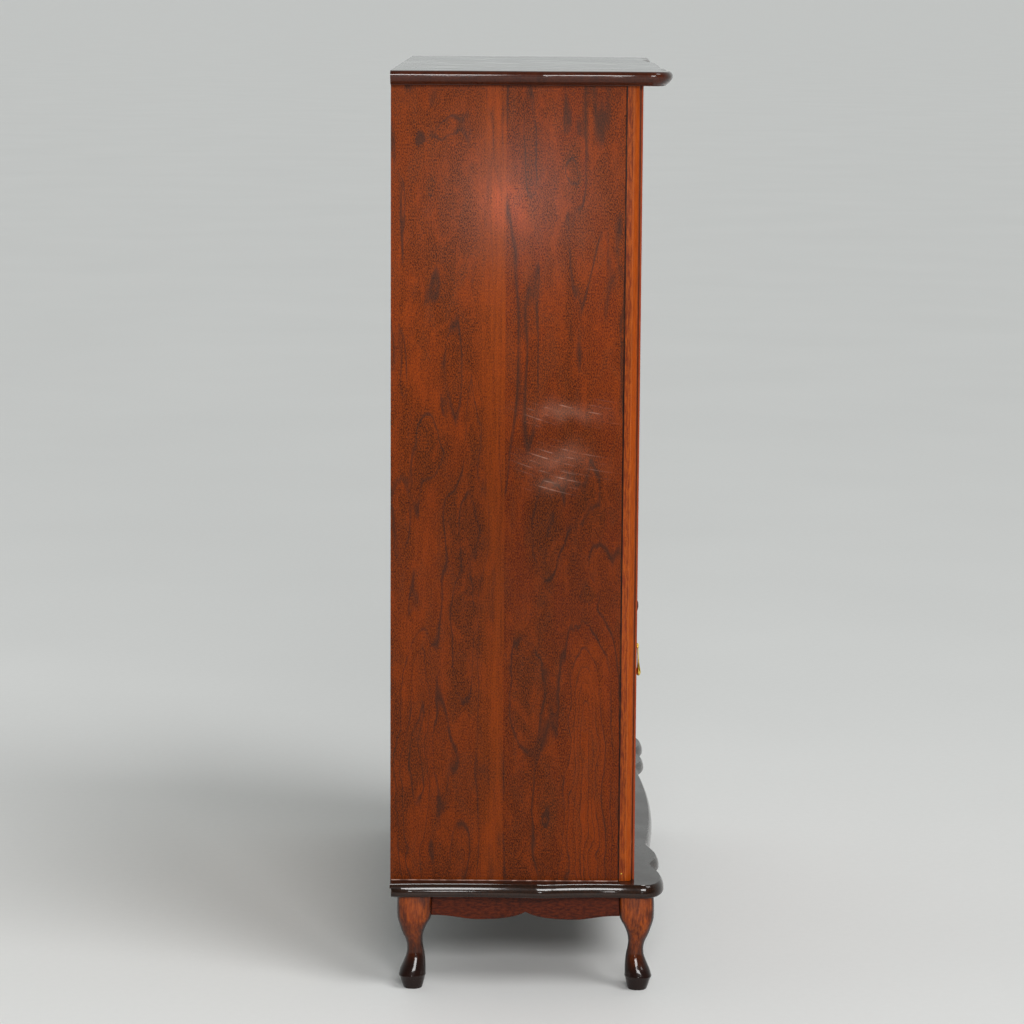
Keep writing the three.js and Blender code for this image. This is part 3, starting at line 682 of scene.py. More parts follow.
def face_stile_wood():
    """The frame's wood, with black polish in the joint against the side panel, a painted highlight along the
    arris, a golden ovolo that is painted light, painted shade in the crease in front of it and a redder bead."""
    low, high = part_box("left_front_stile")
    arris = low.y + STILE_BEAD + STILE_OVOLO + STILE_STEP
    crease = low.y + 2 * MM

    def banded(made, colour):
        x, y, _ = made.split(made.place)
        # Painted light: a golden tint over the ovolo and all in front of the arris
        painted_ovolo_light = made.rescale(y, arris, arris - 1.2 * MM)
        colour = made.mix(made.times(painted_ovolo_light, 0.5), colour, srgb(158, 68, 8))
        # A painted highlight: a bright line along the arris
        off = made.math("ABSOLUTE", made.plus(y, -arris))
        colour = made.mix(made.rescale(off, 1.1 * MM, 0.3 * MM, 0, 0.3), colour, srgb(200, 104, 30))
        outside = made.rescale(made.math("ABSOLUTE", x), -low.x - 13 * MM, -low.x - 12 * MM)
        # Painted shade: a dark line in the crease in front of the ovolo
        off = made.math("ABSOLUTE", made.plus(y, -crease))
        dark = made.times(made.rescale(off, 1.5 * MM, 0.6 * MM), outside)
        colour = made.mix(made.times(dark, 0.85), colour, srgb(50, 15, 7))
        bead = made.times(made.rescale(y, low.y + 0.8 * MM, low.y - 0.3 * MM), outside)
        colour = made.mix(made.times(bead, 0.6), colour, srgb(140, 52, 38))
        stain = made.rescale(y, high.y - 2.0 * MM, high.y - 1.2 * MM)
        return made.mix(stain, colour, srgb(12, 5, 4))
    return wood("face_stile", "z", *FRAME_TONES, lines=0.35, coat=0.2, tint=banded, flecks=(500, 60),
                streaky=0.5, open_pores=0.7)


def glue():
    """Thin pale squeezed-out glue, broken along its length."""
    made = Finish("glue_line")
    broken = made.rescale(made.noise((120, 120, 120), 3), 0.4, 0.6)
    return made.done(Base_Color=made.mix(broken, srgb(150, 104, 84), srgb(96, 52, 34)),
                     Roughness=made.rescale(broken, 0, 1, 0.35, 0.6),
                     Normal=made.bump(broken, 0.0001, 0.4))


def frame_wood(name, along):
    return wood(name, along, *FRAME_TONES, lines=0.3, streaky=0.3, flecks=(420, 22))


def apron_wood(name, along):
    return wood(name, along, srgb(128, 52, 18), srgb(66, 24, 12), srgb(34, 14, 9), srgb(140, 70, 32),
                lines=0.15, coat=0.2, flecks=(420, 130), streaky=0.3)


FINISHES = {
    "side_veneer": veneer("side_veneer", True),
    "panel_veneer": veneer("panel_veneer", False),
    "upright": frame_wood("frame_upright", "z"),
    "face_stile": face_stile_wood(),
    "glue_line": glue(),
    "cross": frame_wood("frame_cross", "x"),
    "top_edge": dark_moulding("top_moulding", srgb(58, 24, 11), srgb(36, 14, 7), srgb(84, 36, 17)),
    "base_edge": dark_moulding("base_moulding", srgb(34, 19, 10), srgb(18, 10, 6), srgb(62, 34, 18)),
    "waist_edge": wood("waist_moulding", "x", srgb(60, 30, 14), srgb(34, 17, 9), srgb(18, 9, 6),
                       srgb(70, 34, 18), lines=0.2, coat=0.0, rough=0.55, open_pores=0.2),
    "leg": leg_wood(),
    "apron_side": apron_wood("apron_side", "y"),
    "apron_front": apron_wood("apron_front", "x"),
    "inside": unlacquered("inside_wood", "x", srgb(176, 118, 72), srgb(146, 90, 52), srgb(110, 64, 36)),
    "back": unlacquered("back_board", "z", srgb(188, 148, 104), srgb(160, 118, 78), srgb(128, 90, 58),
                        0.75),
    "glue_block": unlacquered("glue_block_pine", "x", srgb(206, 168, 118), srgb(186, 144, 96),
                              srgb(150, 108, 66), 0.8),
    "brass": brass(),
    "glass": old_glass(),
    "dark": painted_keyhole_shade(),
}


# ---------------------------------------------------------------- moulded boards

def serpentine(steps=14):
    """Plan of the top and base boards in millimetres, (x, depth), from one end of the straight
    back edge round the front to the other."""
    right = path((0, 358),
                 ((95, 358), (175, 351), (232, 346.5)),
                 ((250, 350.5), (268, 358), (290, 358)),
                 ((312, 358), (324, 351), (340, 347)),
                 ((356, 352), (378, 360), (402, 360)),
                 ((432, 360), (455, 350), (452, 328)),
                 ((444, 266), (455, 203)),
                 ((447, 105), (455, 0)), steps=steps)
    return [(-x, depth) for x, depth in reversed(right[1:])] + right


def outward_normals(outline):
    """Unit normals, away from the board, at the points of a plan in (x, depth)."""
    normals = []
    for i, here in enumerate(outline):
        if i in (0, len(outline) - 1):
            normals.append(Vector((math.copysign(1, here[0]), 0)))
            continue
        before = (Vector(here) - Vector(outline[i - 1])).normalized()
        after = (Vector(outline[i + 1]) - Vector(here)).normalized()
        along = (before + after).normalized()
        normals.append(Vector((-along.y, along.x)))
    return normals


def moulded_board(node, profile, finish, chipped=False):
    """A serpentine board whose edge follows a profile of (inset, height) from its underside."""
    outline = serpentine()
    normals = outward_normals(outline)
    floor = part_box(node)[0].z
    rings = []
    for inset, height in profile:
        ring = []
        for i, ((x, depth), normal) in enumerate(zip(outline, normals)):
            x, depth = x - normal.x * inset, depth - normal.y * inset
            if chipped and i == 0 and height < CHIP_TOP:
                x, depth = x + CHIP_DEEP, depth + CHIP_DEEP / 2
            ring.append((x * MM, BACK - depth * MM, floor + height * MM))
        rings.append(ring)
    Carving().loft(rings).piece(f"{node}_moulded", finish, "case", "moulding", [node], smooth=28)


CHIP_TOP = 12  # height of the chip at the back left corner of the base board, and how deep it is
CHIP_DEEP = 3.5
THUMBNAIL = path((11, 0), ((11, 0.7),), ((8.4, 2.2), (4.4, 5.0), (2.7, 9.4)),
                 ((1.8, 12), (2.4, 14.8), (4, 16.5)), ((5, 17.6), (6.2, 18), (8, 18)), steps=7)
# From the underside: a nose, a long hollow-backed slope, and a fine arris where it meets the top
TORUS = path((5.4, 0), ((2.8, 0.2), (0.1, 1.4), (0.1, 4.5)), ((0.1, 8.4), (1.3, 13.6), (4.2, 17.1)),
             ((4.9, 17.4),), ((5.1, 18),), steps=9)


def waist_moulding():
    """A half-round whose plan is a brace, nearly flush at its ends and pointed in the middle."""
    low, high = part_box("waist_moulding")
    crest, ground, half = low.y, high.y, high.x
    end = ground - 1.3 * MM
    right = path((0, crest), ((40 * MM, crest + 0.3 * MM), (110 * MM, end - MM), (half, end)), steps=40)
    plan = [(-x, y) for x, y in reversed(right[1:])] + right
    plan = [(-half, ground)] + plan + [(half, ground)]
    rings = []
    for turn in angles(math.pi, 14):
        share = 1 - math.sin(turn)
        z = low.z + (high.z - low.z) * (1 - math.cos(turn)) / 2
        rings.append([(x, y + share * min(4 * MM, 0.8 * (ground - y)), z) for x, y in plan])
    Carving().loft(rings).piece("waist_moulding_brace", "waist_edge", "case", "moulding",
                                ["waist_moulding"], smooth=50)


def boards():
    moulded_board("top_board", THUMBNAIL, "top_edge")
    moulded_board("base_board", TORUS, "base_edge", chipped=True)
    waist_moulding()


# ---------------------------------------------------------------- front stiles

def front_stile(side):
    """Outer edge: a flat, a small step, an ovolo, a second step and a bead that stands proud."""
    s = SIDES[side]
    node = f"{side}_front_stile"
    low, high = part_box(node)
    front, back = low.y, high.y
    outer, inner = (low.x, high.x) if s < 0 else (high.x, low.x)
    step, ovolo, bead, proud = STILE_STEP, STILE_OVOLO, STILE_BEAD, 1.2 * MM
    section = [(inner, back), (outer, back), (outer, front + bead + ovolo + step),
               (outer - s * step, front + bead + ovolo + step * 0.9)]
    for turn in angles(math.pi / 2, 12):
        section.append((outer - s * (step + ovolo * (1 - math.cos(turn))),
                        front + bead + ovolo * (1 - math.sin(turn))))
    side_of_bead = outer - s * (2 * step + ovolo)
    section += [(side_of_bead, front + bead), (side_of_bead, front - proud + 0.5 * MM),
                (side_of_bead - s * 0.5 * MM, front - proud), (side_of_bead - s * 3 * MM, front - proud),
                (side_of_bead - s * 3.5 * MM, front - proud + 0.5 * MM), (side_of_bead - s * 3.5 * MM, front),
                (inner, front)]
    outline = [(x, y, 0) for x, y in section]
    Carving().extrude(outline, Z * low.z, Z * high.z).piece(
        f"{side}_stile_with_ovolo", "face_stile", "case", "frame", [node], smooth=24)


def stile_pin():
    """The brass pin that holds the foot of the near stile."""
    low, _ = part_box("left_front_stile")
    place = (low.x, low.y + 16 * MM, low.z + 10 * MM)
    head = [(0, -0.5), (1.1, -0.5), (1.1, 0.2), (0.8, 0.5), (0, 0.6)]
    Carving().lathe(head, place, -X, 16).piece("left_stile_pin", "brass", "case", "brass")


# ---------------------------------------------------------------- legs and aprons

# Height, outward offset, radius, squareness (2 is round) and how pointed the toe is
LEG_STATIONS = [
    (0, 3.8, 11.8, 2, 0), (0.8, 3.9, 12.6, 2, 0), (6, 4.2, 14.2, 2, 0.03), (11, 4.4, 15.5, 2, 0.06),
    (15.4, 4.7, 16.7, 2, 0.09), (17.6, 4.9, 17.6, 2, 0.10), (18.6, 4.9, 17.7, 2, 0.10),
    (21, 4.6, 17.3, 2, 0.09), (27, 3.2, 16.3, 2, 0.05), (36, 0.6, 14.1, 2, 0), (46, -1, 11.7, 2, 0),
    (56, 0.1, 10.5, 2, 0), (64.5, 1.9, 11.2, 2.1, 0), (74.5, 4.0, 14.0, 2.3, 0), (85, 3.6, 17.9, 2.6, 0),
    (95, 1.9, 21.9, 3, 0), (104, 1.0, 23.2, 3.3, 0), (116, 0.4, 23.4, 3.8, 0), (127.7, 0, 23.2, 4, 0),
]


def leg(end, side):
    node = f"{end}_{side}_leg"
    low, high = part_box(node)
    centre = (low + high) / 2
    outward = math.atan2(-1 if end == "front" else 1, SIDES[side])
    rings = []
    for height, offset, radius, squareness, toe in spline(LEG_STATIONS, 5):
        z = max(height, 0) * MM
        ring = []
        for angle in all_round(56):
            c, n = abs(math.cos(angle)), abs(math.sin(angle))
            reach = radius / (c ** squareness + n ** squareness) ** (1 / squareness)
            reach *= 1 + toe * max(0, math.cos(angle - outward)) ** 8
            x = centre.x + (offset * math.cos(outward) + reach * math.cos(angle)) * MM
            y = centre.y + (offset * math.sin(outward) + reach * math.sin(angle)) * MM
            ring.append((x, y, z))
        rings.append(ring)
    Carving().loft(rings).piece(f"{end}_{side}_cabriole_leg", "leg", "case", "leg", [node],
                                smooth=50)


def apron_outline(half, top):
    """In millimetres: two lobes with a central point between them."""
    ends, lobe, point = 99, 93.5, 104
    right = path((0, point), ((0.1 * half, ends - 3), (0.3 * half, lobe), (0.5 * half, lobe)),
                 ((0.67 * half, lobe), (0.76 * half, ends), (half, ends)), steps=16)
    right.append((half, top))
    return [(-u, z) for u, z in reversed(right[1:])] + right


def aprons():
    for name, across, finish in (("front", X, "apron_front"), ("left", Y, "apron_side"),
                                 ("right", Y, "apron_side")):
        node = f"{name}_apron"
        low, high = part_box(node)
        middle, size = (low + high) / 2, high - low
        along = size.x if across is X else size.y
        through = Y if across is X else X
        thick = size.y if across is X else size.x
        outline = [middle + across * u * MM + Z * (z * MM - middle.z)
                   for u, z in apron_outline(along / 2 / MM + 3, high.z / MM)]
        Carving().extrude(outline, through * -thick / 2, through * thick / 2).piece(
            f"{name}_shaped_apron", finish, "case", "leg", [node], ease=1.6 * MM, smooth=40)
    dress("back_apron", "apron_front", 1.5 * MM)


def glue_blocks():
    """Pine blocks in the corner between the aprons and the base board."""
    carving = Carving()
    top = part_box("base_board")[0].z - 0.2 * MM
    size = 17 * MM
    triangle = [(0, 0), (size, 0), (0, -size)]
    inner_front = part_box("front_apron")[1].y + 0.2 * MM
    for x in (-0.27, -0.09, 0.09, 0.27):
        outline = [(0, inner_front + u, top + w) for u, w in triangle]
        carving.extrude(outline, X * (x - 0.03), X * (x + 0.03))
    for side, s in SIDES.items():
        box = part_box(f"{side}_apron")
        face = (box[1].x if s < 0 else box[0].x) - s * 0.2 * MM
        for y in (-0.05, 0.055):
            outline = [(face - s * u, 0, top + w) for u, w in triangle]
            carving.extrude(outline, Y * (y - 0.03), Y * (y + 0.03))
    carving.piece("glue_blocks", "glue_block", "case", "interior", ease=0.8 * MM)


def underframe():
    for side in SIDES:
        for end in ("front", "back"):
            leg(end, side)
    aprons()
    glue_blocks()


# ---------------------------------------------------------------- case and shelves

def china_shelf(node):
    """A shelf with a rounded front edge and a groove for standing plates."""
    low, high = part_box(node)
    nose = (high.z - low.z) / 2
    section = []
    for turn in angles(math.pi, 10):
        turn += math.pi / 2
        section.append((low.y + nose * (1 + 0.8 * math.cos(turn) - 0.2), low.z + nose * (1 + math.sin(turn))))
    section[0], section[-1] = (section[0][0], high.z), (section[-1][0], low.z)
    groove = high.y - 38 * MM
    section += [(high.y, low.z), (high.y, high.z), (groove + 5 * MM, high.z),
                (groove + 3.6 * MM, high.z - 2 * MM), (groove + 1.4 * MM, high.z - 2 * MM),
                (groove, high.z)]
    outline = [(0, y, z) for y, z in section]
    Carving().extrude(outline, X * low.x, X * high.x).piece(
        f"{node}_with_plate_groove", "inside", "case", "interior", [node], smooth=30)


def back_panel_pins():
    """Flat pin heads round the back panel."""
    low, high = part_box("back_panel")
    carving = Carving()
    inset = 8 * MM
    head = [(0, -0.4), (1.8, -0.4), (1.8, 0.1), (1.3, 0.22), (0, 0.25)]
    columns, rows = 7, 9
    for i in range(columns):
        for j in range(rows):
            if 0 < i < columns - 1 and 0 < j < rows - 1:
                continue
            x = low.x + inset + (high.x - low.x - 2 * inset) * i / (columns - 1)
            z = low.z + inset + (high.z - low.z - 2 * inset) * j / (rows - 1)
            carving.lathe(head, (x, high.y, z), Y, 12)
    carving.piece("back_panel_pins", "brass", "case", "brass")


def glue_lines():
    """A thread of glue along the foot of each side panel."""
    for side, s in SIDES.items():
        low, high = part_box(f"{side}_side_panel")
        outer = low.x if s < 0 else high.x
        thread = [(outer - s * 0.2 * MM, 0, low.z - 0.3 * MM), (outer + s * 0.7 * MM, 0, low.z - 0.3 * MM),
                  (outer + s * 0.5 * MM, 0, low.z + 0.3 * MM), (outer - s * 0.2 * MM, 0, low.z + 0.7 * MM)]
        Carving().extrude(thread, Y * low.y, Y * (high.y - MM)).piece(
            f"{side}_glue_line", "glue_line", "case", "veneer")


def case():
    for side in SIDES:
        dress(f"{side}_side_panel", "side_veneer", 0.5 * MM)
        front_stile(side)
    for node in ("top_rail", "waist_rail", "bottom_rail"):
        dress(node, "cross", 0.6 * MM)
    for node in ("case_floor", "divider_board"):
        dress(node, "inside")
    dress("back_panel", "back", 0.4 * MM)
    china_shelf("lower_shelf")
    china_shelf("upper_shelf")
    back_panel_pins()
    stile_pin()
    glue_lines()


# ---------------------------------------------------------------- doors

def door_frame(name):
    for part in ("hinge_stile", "meeting_stile"):
        dress(f"{name}_{part}", "upright", 0.9 * MM)
    for part in ("bottom_rail", "top_rail"):
        dress(f"{name}_{part}", "cross", 0.9 * MM)


def astragal():
    """Section of a glazing bar, (across, forward) in millimetres: a half-round on a flat."""
    arc = [(-3.2 * math.cos(t), 2.6 + 4.8 * math.sin(t)) for t in angles(math.pi, 12)]
    return [(-4, 0), (-4, 2.4), *arc, (4, 2.4), (4, 0)]


def bar_along(carving, curve, back):
    """Sweeps the glazing bar's section along points in the x-z plane."""
    rings = []
    for i, here in enumerate(curve):
        before, after = curve[max(i - 1, 0)], curve[min(i + 1, len(curve) - 1)]
        along = (after - before).normalized()
        across = Vector((-along.z, 0, along.x))
        rings.append([here + across * w * MM + Vector((0, back - here.y - d * MM, 0))
                      for w, d in astragal()])
    carving.loft(rings)


def glazing_bars(side):
    """A moulded border, and a pointed oval tied to it on four sides."""
    node = f"upper_{side}_door_glazing_bars"
    low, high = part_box(node)
    centre, half = (low + high) / 2, (high - low) / 2
    border = path((0, high.y), ((0, low.y),), ((0.7 * MM, low.y),), ((0.9 * MM, low.y + 0.6 * MM),),
                  ((4.4 * MM, low.y + 0.6 * MM), (5.2 * MM, low.y + 3 * MM), (5.3 * MM, low.y + 5 * MM)),
                  ((6 * MM, low.y + 5.2 * MM),), ((6 * MM, high.y),), steps=8)
    carving = Carving().mitred(centre, half.x, half.z, border)
    oval = Vector((0.62 * half.x, 0, 0.62 * half.z))
    for sign in (-1, 1):
        handles = [Vector((0, 0, -oval.z)), Vector((sign * 2 * oval.x, 0, 0)), Vector((0, 0, oval.z))]
        flank = [centre + Vector(along_curve(handles, i / 40)) for i in range(41)]
        bar_along(carving, flank, high.y)
        upright = [centre + Z * sign * (oval.z - 2 * MM), centre + Z * sign * (half.z - 4 * MM)]
        level = [centre + X * sign * oval.x, centre + X * sign * (half.x - 4 * MM)]
        bar_along(carving, upright, high.y)
        bar_along(carving, level, high.y)
    carving.piece(f"upper_{side}_door_moulded_bars", "upright", f"upper_{side}_door",
                  "glazing_bar", [node], smooth=35)


def pane(side):
    """Old sheet glass, whose faces wave by a tenth of a millimetre."""
    node = f"upper_{side}_door_glass"
    low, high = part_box(node)
    columns, rows = 20, 36
    phase = SIDES[side]
    rings = []
    for j in range(rows + 1):
        z = low.z + (high.z - low.z) * j / rows
        ring = []
        for face, order in ((low.y, range(columns + 1)), (high.y, reversed(range(columns + 1)))):
            towards = 1 if face == low.y else -1
            for i in order:
                x = low.x + (high.x - low.x) * i / columns
                wave = 0.5 + 0.25 * math.sin(23 * x + 9 * z + phase) + 0.25 * math.sin(31 * z - 7 * x)
                ring.append((x, face + towards * 0.12 * MM * wave, z))
        rings.append(ring)
    Carving().loft(rings).piece(f"upper_{side}_door_pane", "glass", f"upper_{side}_door",
                                "glass", [node], smooth=30)


def glazing_bead(side):
    """The strip that holds the glass from behind, in the rebate."""
    low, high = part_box(f"upper_{side}_door_glass")
    back = high.y + 0.2 * MM
    centre, half = (low + high) / 2, (high - low) / 2
    profile = path((0, back), ((7 * MM, back),), ((7 * MM, back + 1.5 * MM),),
                   ((6.6 * MM, back + 4.4 * MM), (4 * MM, back + 5.6 * MM), (0, back + 5.6 * MM)), steps=6)
    Carving().mitred(centre, half.x, half.z, profile).piece(
        f"upper_{side}_door_glazing_bead", "upright", f"upper_{side}_door", "door_frame")


def fielded_panel(side):
    """A panel with a flat margin, a small step, a hollow bevel and a raised field."""
    name = f"lower_{side}_door"
    low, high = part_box(f"{name}_panel")
    centre, half = (low + high) / 2, (high - low) / 2
    field, plate = low.y, high.y - 8 * MM
    start, end = 29.4 * MM, 45.4 * MM
    profile = path((0, high.y), ((0, plate),), ((start - 1.2 * MM, plate),),
                   ((start, plate), (start, plate - 0.6 * MM), (start + 0.6 * MM, plate - 1.1 * MM)),
                   ((start + 6 * MM, plate - 2.0 * MM), (end - 5 * MM, field + 1.6 * MM),
                    (end - MM, field + 0.9 * MM)),
                   ((end - MM, field + 0.3 * MM),), ((end - 0.4 * MM, field),), steps=7)
    Carving().mitred(centre, half.x, half.z, profile, closed=False).piece(
        f"{name}_fielded_panel", "panel_veneer", name, "veneer", [f"{name}_panel"], smooth=26)
    return centre, half, plate


def sight_moulding(side, centre, half, plate):
    """A mitred ovolo round the inside of a lower door's frame."""
    name = f"lower_{side}_door"
    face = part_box(f"{name}_hinge_stile")[0].y + 0.6 * MM
    lip = 7.5 * MM
    back = plate - 0.2 * MM
    profile = path((0, back), ((0, face),), ((0.8 * MM, face),), ((1.0 * MM, face + 0.5 * MM),),
                   ((3.8 * MM, face + 0.5 * MM), (4.8 * MM, face + 3 * MM), (5 * MM, face + 6 * MM)),
                   ((5.6 * MM, face + 6.2 * MM),), ((5.6 * MM, back),), steps=8)
    Carving().mitred(centre, half.x - lip, half.z - lip, profile).piece(
        f"{name}_sight_moulding", "upright", name, "door_frame")


def doors():
    for side in SIDES:
        door_frame(f"upper_{side}_door")
        glazing_bars(side)
        pane(side)
        glazing_bead(side)
        door_frame(f"lower_{side}_door")
        sight_moulding(side, *fielded_panel(side))


# ---------------------------------------------------------------- brass

def screw(carving, place, axis, radius=2.2):
    """A countersunk head with a slot, made of two half-moons on a disc."""
    carving.lathe([(0, -0.2), (radius, -0.2), (radius, 0.12), (0, 0.12)], place, axis, 20)
    axis = Vector(axis)
    across = axis.orthogonal().normalized()
    along = axis.cross(across)
    for s in (-1, 1):
        moon = [Vector(place) + across * (radius * math.cos(t)) * MM
                + along * s * (0.28 + (radius - 0.28) * math.sin(t)) * MM for t in angles(math.pi, 12)]
        carving.extrude(moon, axis * 0.1 * MM, axis * 0.5 * MM)


def pivots():
    for side, s in SIDES.items():
        for part in ("top", "waist", "bottom"):
            dress(f"{side}_{part}_pivot", "brass", 0.3 * MM)
        screws = Carving()
        for part, up in (("top", -Z), ("bottom", Z)):
            low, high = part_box(f"{side}_{part}_pivot")
            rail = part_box(f"{part}_rail")
            level = rail[0].z if part == "top" else rail[1].z
            inner = high.x if s < 0 else low.x
            for away in (6, 16):
                screw(screws, (inner + s * away * MM, (low.y + high.y) / 2, level), up, 2.0)
        screws.piece(f"{side}_pivot_screws", "brass", "case", "brass")


EYE, CHEEK, NECK = 2.0, 1.8, 12  # of the pull, in mm: radii of the eye and cheeks, reach of the neck


def rose_and_fork(pivot):
    """The turned rose on the door, and the fork and pin at its end."""
    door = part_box("lower_right_door_meeting_stile")[0].y
    foot = Vector((pivot.x, door, pivot.z))
    rose = [(0, 0), (11, 0), (11, 0.7), (10.4, 1.3), (8.8, 1.5), (8.4, 2.1), (7.2, 2.5), (5.0, 2.9),
            (3.6, 3.8), (2.5, 5.6), (2.2, 8), (2.5, 9.8), (3.0, 10.8), (2.9, NECK - 0.4), (2.4, NECK + 0.6),
            (0, NECK + 0.8)]
    carving = Carving().lathe(rose, foot, -Y, 40)
    rounded = [math.pi / 2 + t for t in angles(math.pi, 12)]
    outline = [(0, pivot.y + CHEEK * MM * math.cos(t), pivot.z + CHEEK * MM * math.sin(t))
               for t in rounded]
    outline += [(0, foot.y - NECK * MM, pivot.z - CHEEK * MM), (0, foot.y - NECK * MM, pivot.z + CHEEK * MM)]
    for s in (-1, 1):
        near, far = sorted((pivot.x + s * 1.7 * MM, pivot.x + s * 3.4 * MM))
        carving.extrude(outline, X * near, X * far)
    carving.lathe([(0, -4), (0.6, -3.9), (0.9, -3.4), (0.9, 3.4), (0.6, 3.9), (0, 4)], pivot, X, 20)
    carving.piece("handle_rose_and_fork", "brass", "lower_right_door", "brass", ["handle_plate"],
                  smooth=40)


def pear_drop(pivot):
    """The drop, bent a little forward, with the eye that it swings by."""
    ring = [(1.1, -1.3), (EYE - 0.3, -1.3), (EYE, -0.9), (EYE, 0.9), (EYE - 0.3, 1.3), (1.1, 1.3)]
    turns = all_round(28)
    drop = Carving().loft([[pivot + X * along * MM + (Y * math.cos(t) + Z * math.sin(t)) * r * MM
                            for r, along in ring] for t in turns], closed=True)
    pear = spline([(0.9, 1.5, 0), (1.5, 2.6, 0.1), (1.7, 3.6, 0.2), (1.2, 4.8, 0.3), (1.0, 7, 0.5),
                   (1.05, 19, 1.1), (1.4, 26, 1.4), (2.1, 32, 1.7), (2.9, 36.4, 1.8), (3.25, 39.2, 1.8),
                   (3.2, 41.2, 1.8), (2.6, 43.3, 1.8), (1.5, 44.6, 1.8), (0.2, 45, 1.8)], 3)
    rings = []
    for radius, down, forward in pear:
        centre = pivot - Z * down * MM - Y * forward * MM
        rings.append([centre + (X * math.cos(t) + Y * math.sin(t)) * radius * MM for t in turns])
    drop.loft(rings)
    drop.piece("handle_pear_drop", "brass", "handle_drop", "brass", ["handle_drop"], smooth=50)


def handle():
    low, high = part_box("handle_plate")
    top_of_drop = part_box("handle_drop")[1].z
    pivot = Vector(((low.x + high.x) / 2, low.y + CHEEK * MM, top_of_drop - EYE * MM))
    rose_and_fork(pivot)
    pear_drop(pivot)


def keyhole(turn):
    """Radius of a keyhole's outline, in millimetres, at an angle from straight down."""
    slot = 0.85 / max(abs(math.sin(turn)), 0.14) if math.cos(turn) > 0 else 0
    return max(2.1, min(6.0, slot))


def escutcheon():
    """A thin oval plate round the keyhole of the upper right door."""
    low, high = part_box("lock_case")
    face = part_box("upper_right_door_meeting_stile")[0].y
    centre = Vector(((low.x + high.x) / 2, face, (low.z + high.z) / 2))
    rings, hole = [], []
    steps = [(1.0, 0), (1.0, 0.5), (0.93, 0.9), (0, 0.9), (0, 0)]
    for turn in all_round(64):
        away = Vector((math.sin(turn), 0, -math.cos(turn)))
        hole.append(centre + away * (keyhole(turn) - 0.05) * MM)
        edge = 1 / math.hypot(math.sin(turn) / 8, math.cos(turn) / 14)
        rings.append([centre + away * (edge * share if share else keyhole(turn)) * MM - Y * up * MM
                      for share, up in steps])
    Carving().loft(rings, closed=True).piece("keyhole_escutcheon", "brass",
                                             "upper_right_door", "brass", smooth=30)
    # keyhole_shadow is a dark disc: painted shade in place of the keyhole's hollow
    Carving().extrude(hole, Y * -0.15 * MM, Y * 0.1 * MM).piece(
        "keyhole_shadow", "dark", "upper_right_door", "brass")


def lock():
    dress("lock_case", "brass", 0.7 * MM)
    dress("lock_bolt", "brass", 0.8 * MM)
    low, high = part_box("lock_case")
    screws = Carving()
    for x in (low.x + 5 * MM, high.x - 5 * MM):
        for z in (low.z + 5 * MM, high.z - 5 * MM):
            screw(screws, (x, high.y, z), Y, 1.9)
    screws.piece("lock_case_screws", "brass", "upper_right_door", "brass")
    escutcheon()


def keeper():
    """The bracket behind the upper left door that the bolt slides into."""
    low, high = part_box("lock_bolt")
    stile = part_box("upper_left_door_meeting_stile")[1]
    middle = (low.z + high.z) / 2
    left, right = stile.x - 12 * MM, stile.x - 1.5 * MM
    bolt_back = high.y + 0.6 * MM
    carving = Carving()
    carving.block((left, bolt_back, middle - 8 * MM), (right, bolt_back + 1.2 * MM, middle + 8 * MM))
    for s in (-1, 1):
        foot = sorted((middle + s * 6.8 * MM, middle + s * 8 * MM))
        carving.block((left, stile.y, foot[0]), (right, bolt_back + 0.4 * MM, foot[1]))
        ear = sorted((middle + s * 7.6 * MM, middle + s * 18 * MM))
        carving.block((left, stile.y, ear[0]), (right, stile.y + 1.2 * MM, ear[1]))
        screw(carving, ((left + right) / 2, stile.y + 1.2 * MM, middle + s * 13 * MM), Y, 1.9)
    carving.piece("bolt_keeper", "brass", "upper_left_door", "brass", ease=0.25 * MM)


def ball_catches():
    """A sprung ball in a plate, let into the top edge of each door near the meeting stile."""
    for level in ("upper", "lower"):
        for side, s in SIDES.items():
            name = f"{level}_{side}_door"
            low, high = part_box(f"{name}_meeting_stile")
            place = Vector((s * 19 * MM, (low.y + high.y) / 2, high.z))
            carving = Carving()
            plate = [(-8, -3), (8, -3), (8, 3), (-8, 3)]
            carving.extrude([place + Vector((u * MM, w * MM, 0)) for u, w in plate],
                            Z * -0.3 * MM, Z * 0.3 * MM)
            dome = [(2.2, 0)] + [(2.2 * math.cos(t), 1.3 * math.sin(t)) for t in (0.4, 0.8, 1.2)] + [(0, 1.3)]
            carving.lathe(dome, place + Z * 0.2 * MM, Z, 20)
            carving.piece(f"{name}_ball_catch", "brass", name, "brass")


# ---------------------------------------------------------------- floor, light and camera

HORIZON = 500  # radius of the floor, in metres


def floor():
    """A plain pale floor that runs to the horizon."""
    made = Finish("pale_floor")
    cloud = made.noise((1.4, 1.4, 1.4), 3)
    grit = made.noise((90, 90, 90), 3)
    finish = made.done(Base_Color=made.mix(cloud, (0.74, 0.74, 0.73), (0.79, 0.79, 0.78)),
                       Roughness=made.rescale(grit, 0.3, 0.7, 0.55, 0.7),
                       Normal=made.bump(grit, 0.0002, 0.2))
    mesh = bpy.data.meshes.new("floor")
    rim = [(HORIZON * math.cos(t), HORIZON * math.sin(t), 0) for t in all_round(48)]
    mesh.from_pydata(rim, [], [tuple(range(len(rim)))])
    mesh.materials.append(finish)
    obj = placed("floor", mesh)


# How far a direction points along X, from and to, and how bright the sky is there
SKY = {"From Min": -0.6, "From Max": 0.5, "To Min": 0.10, "To Max": 0.62}


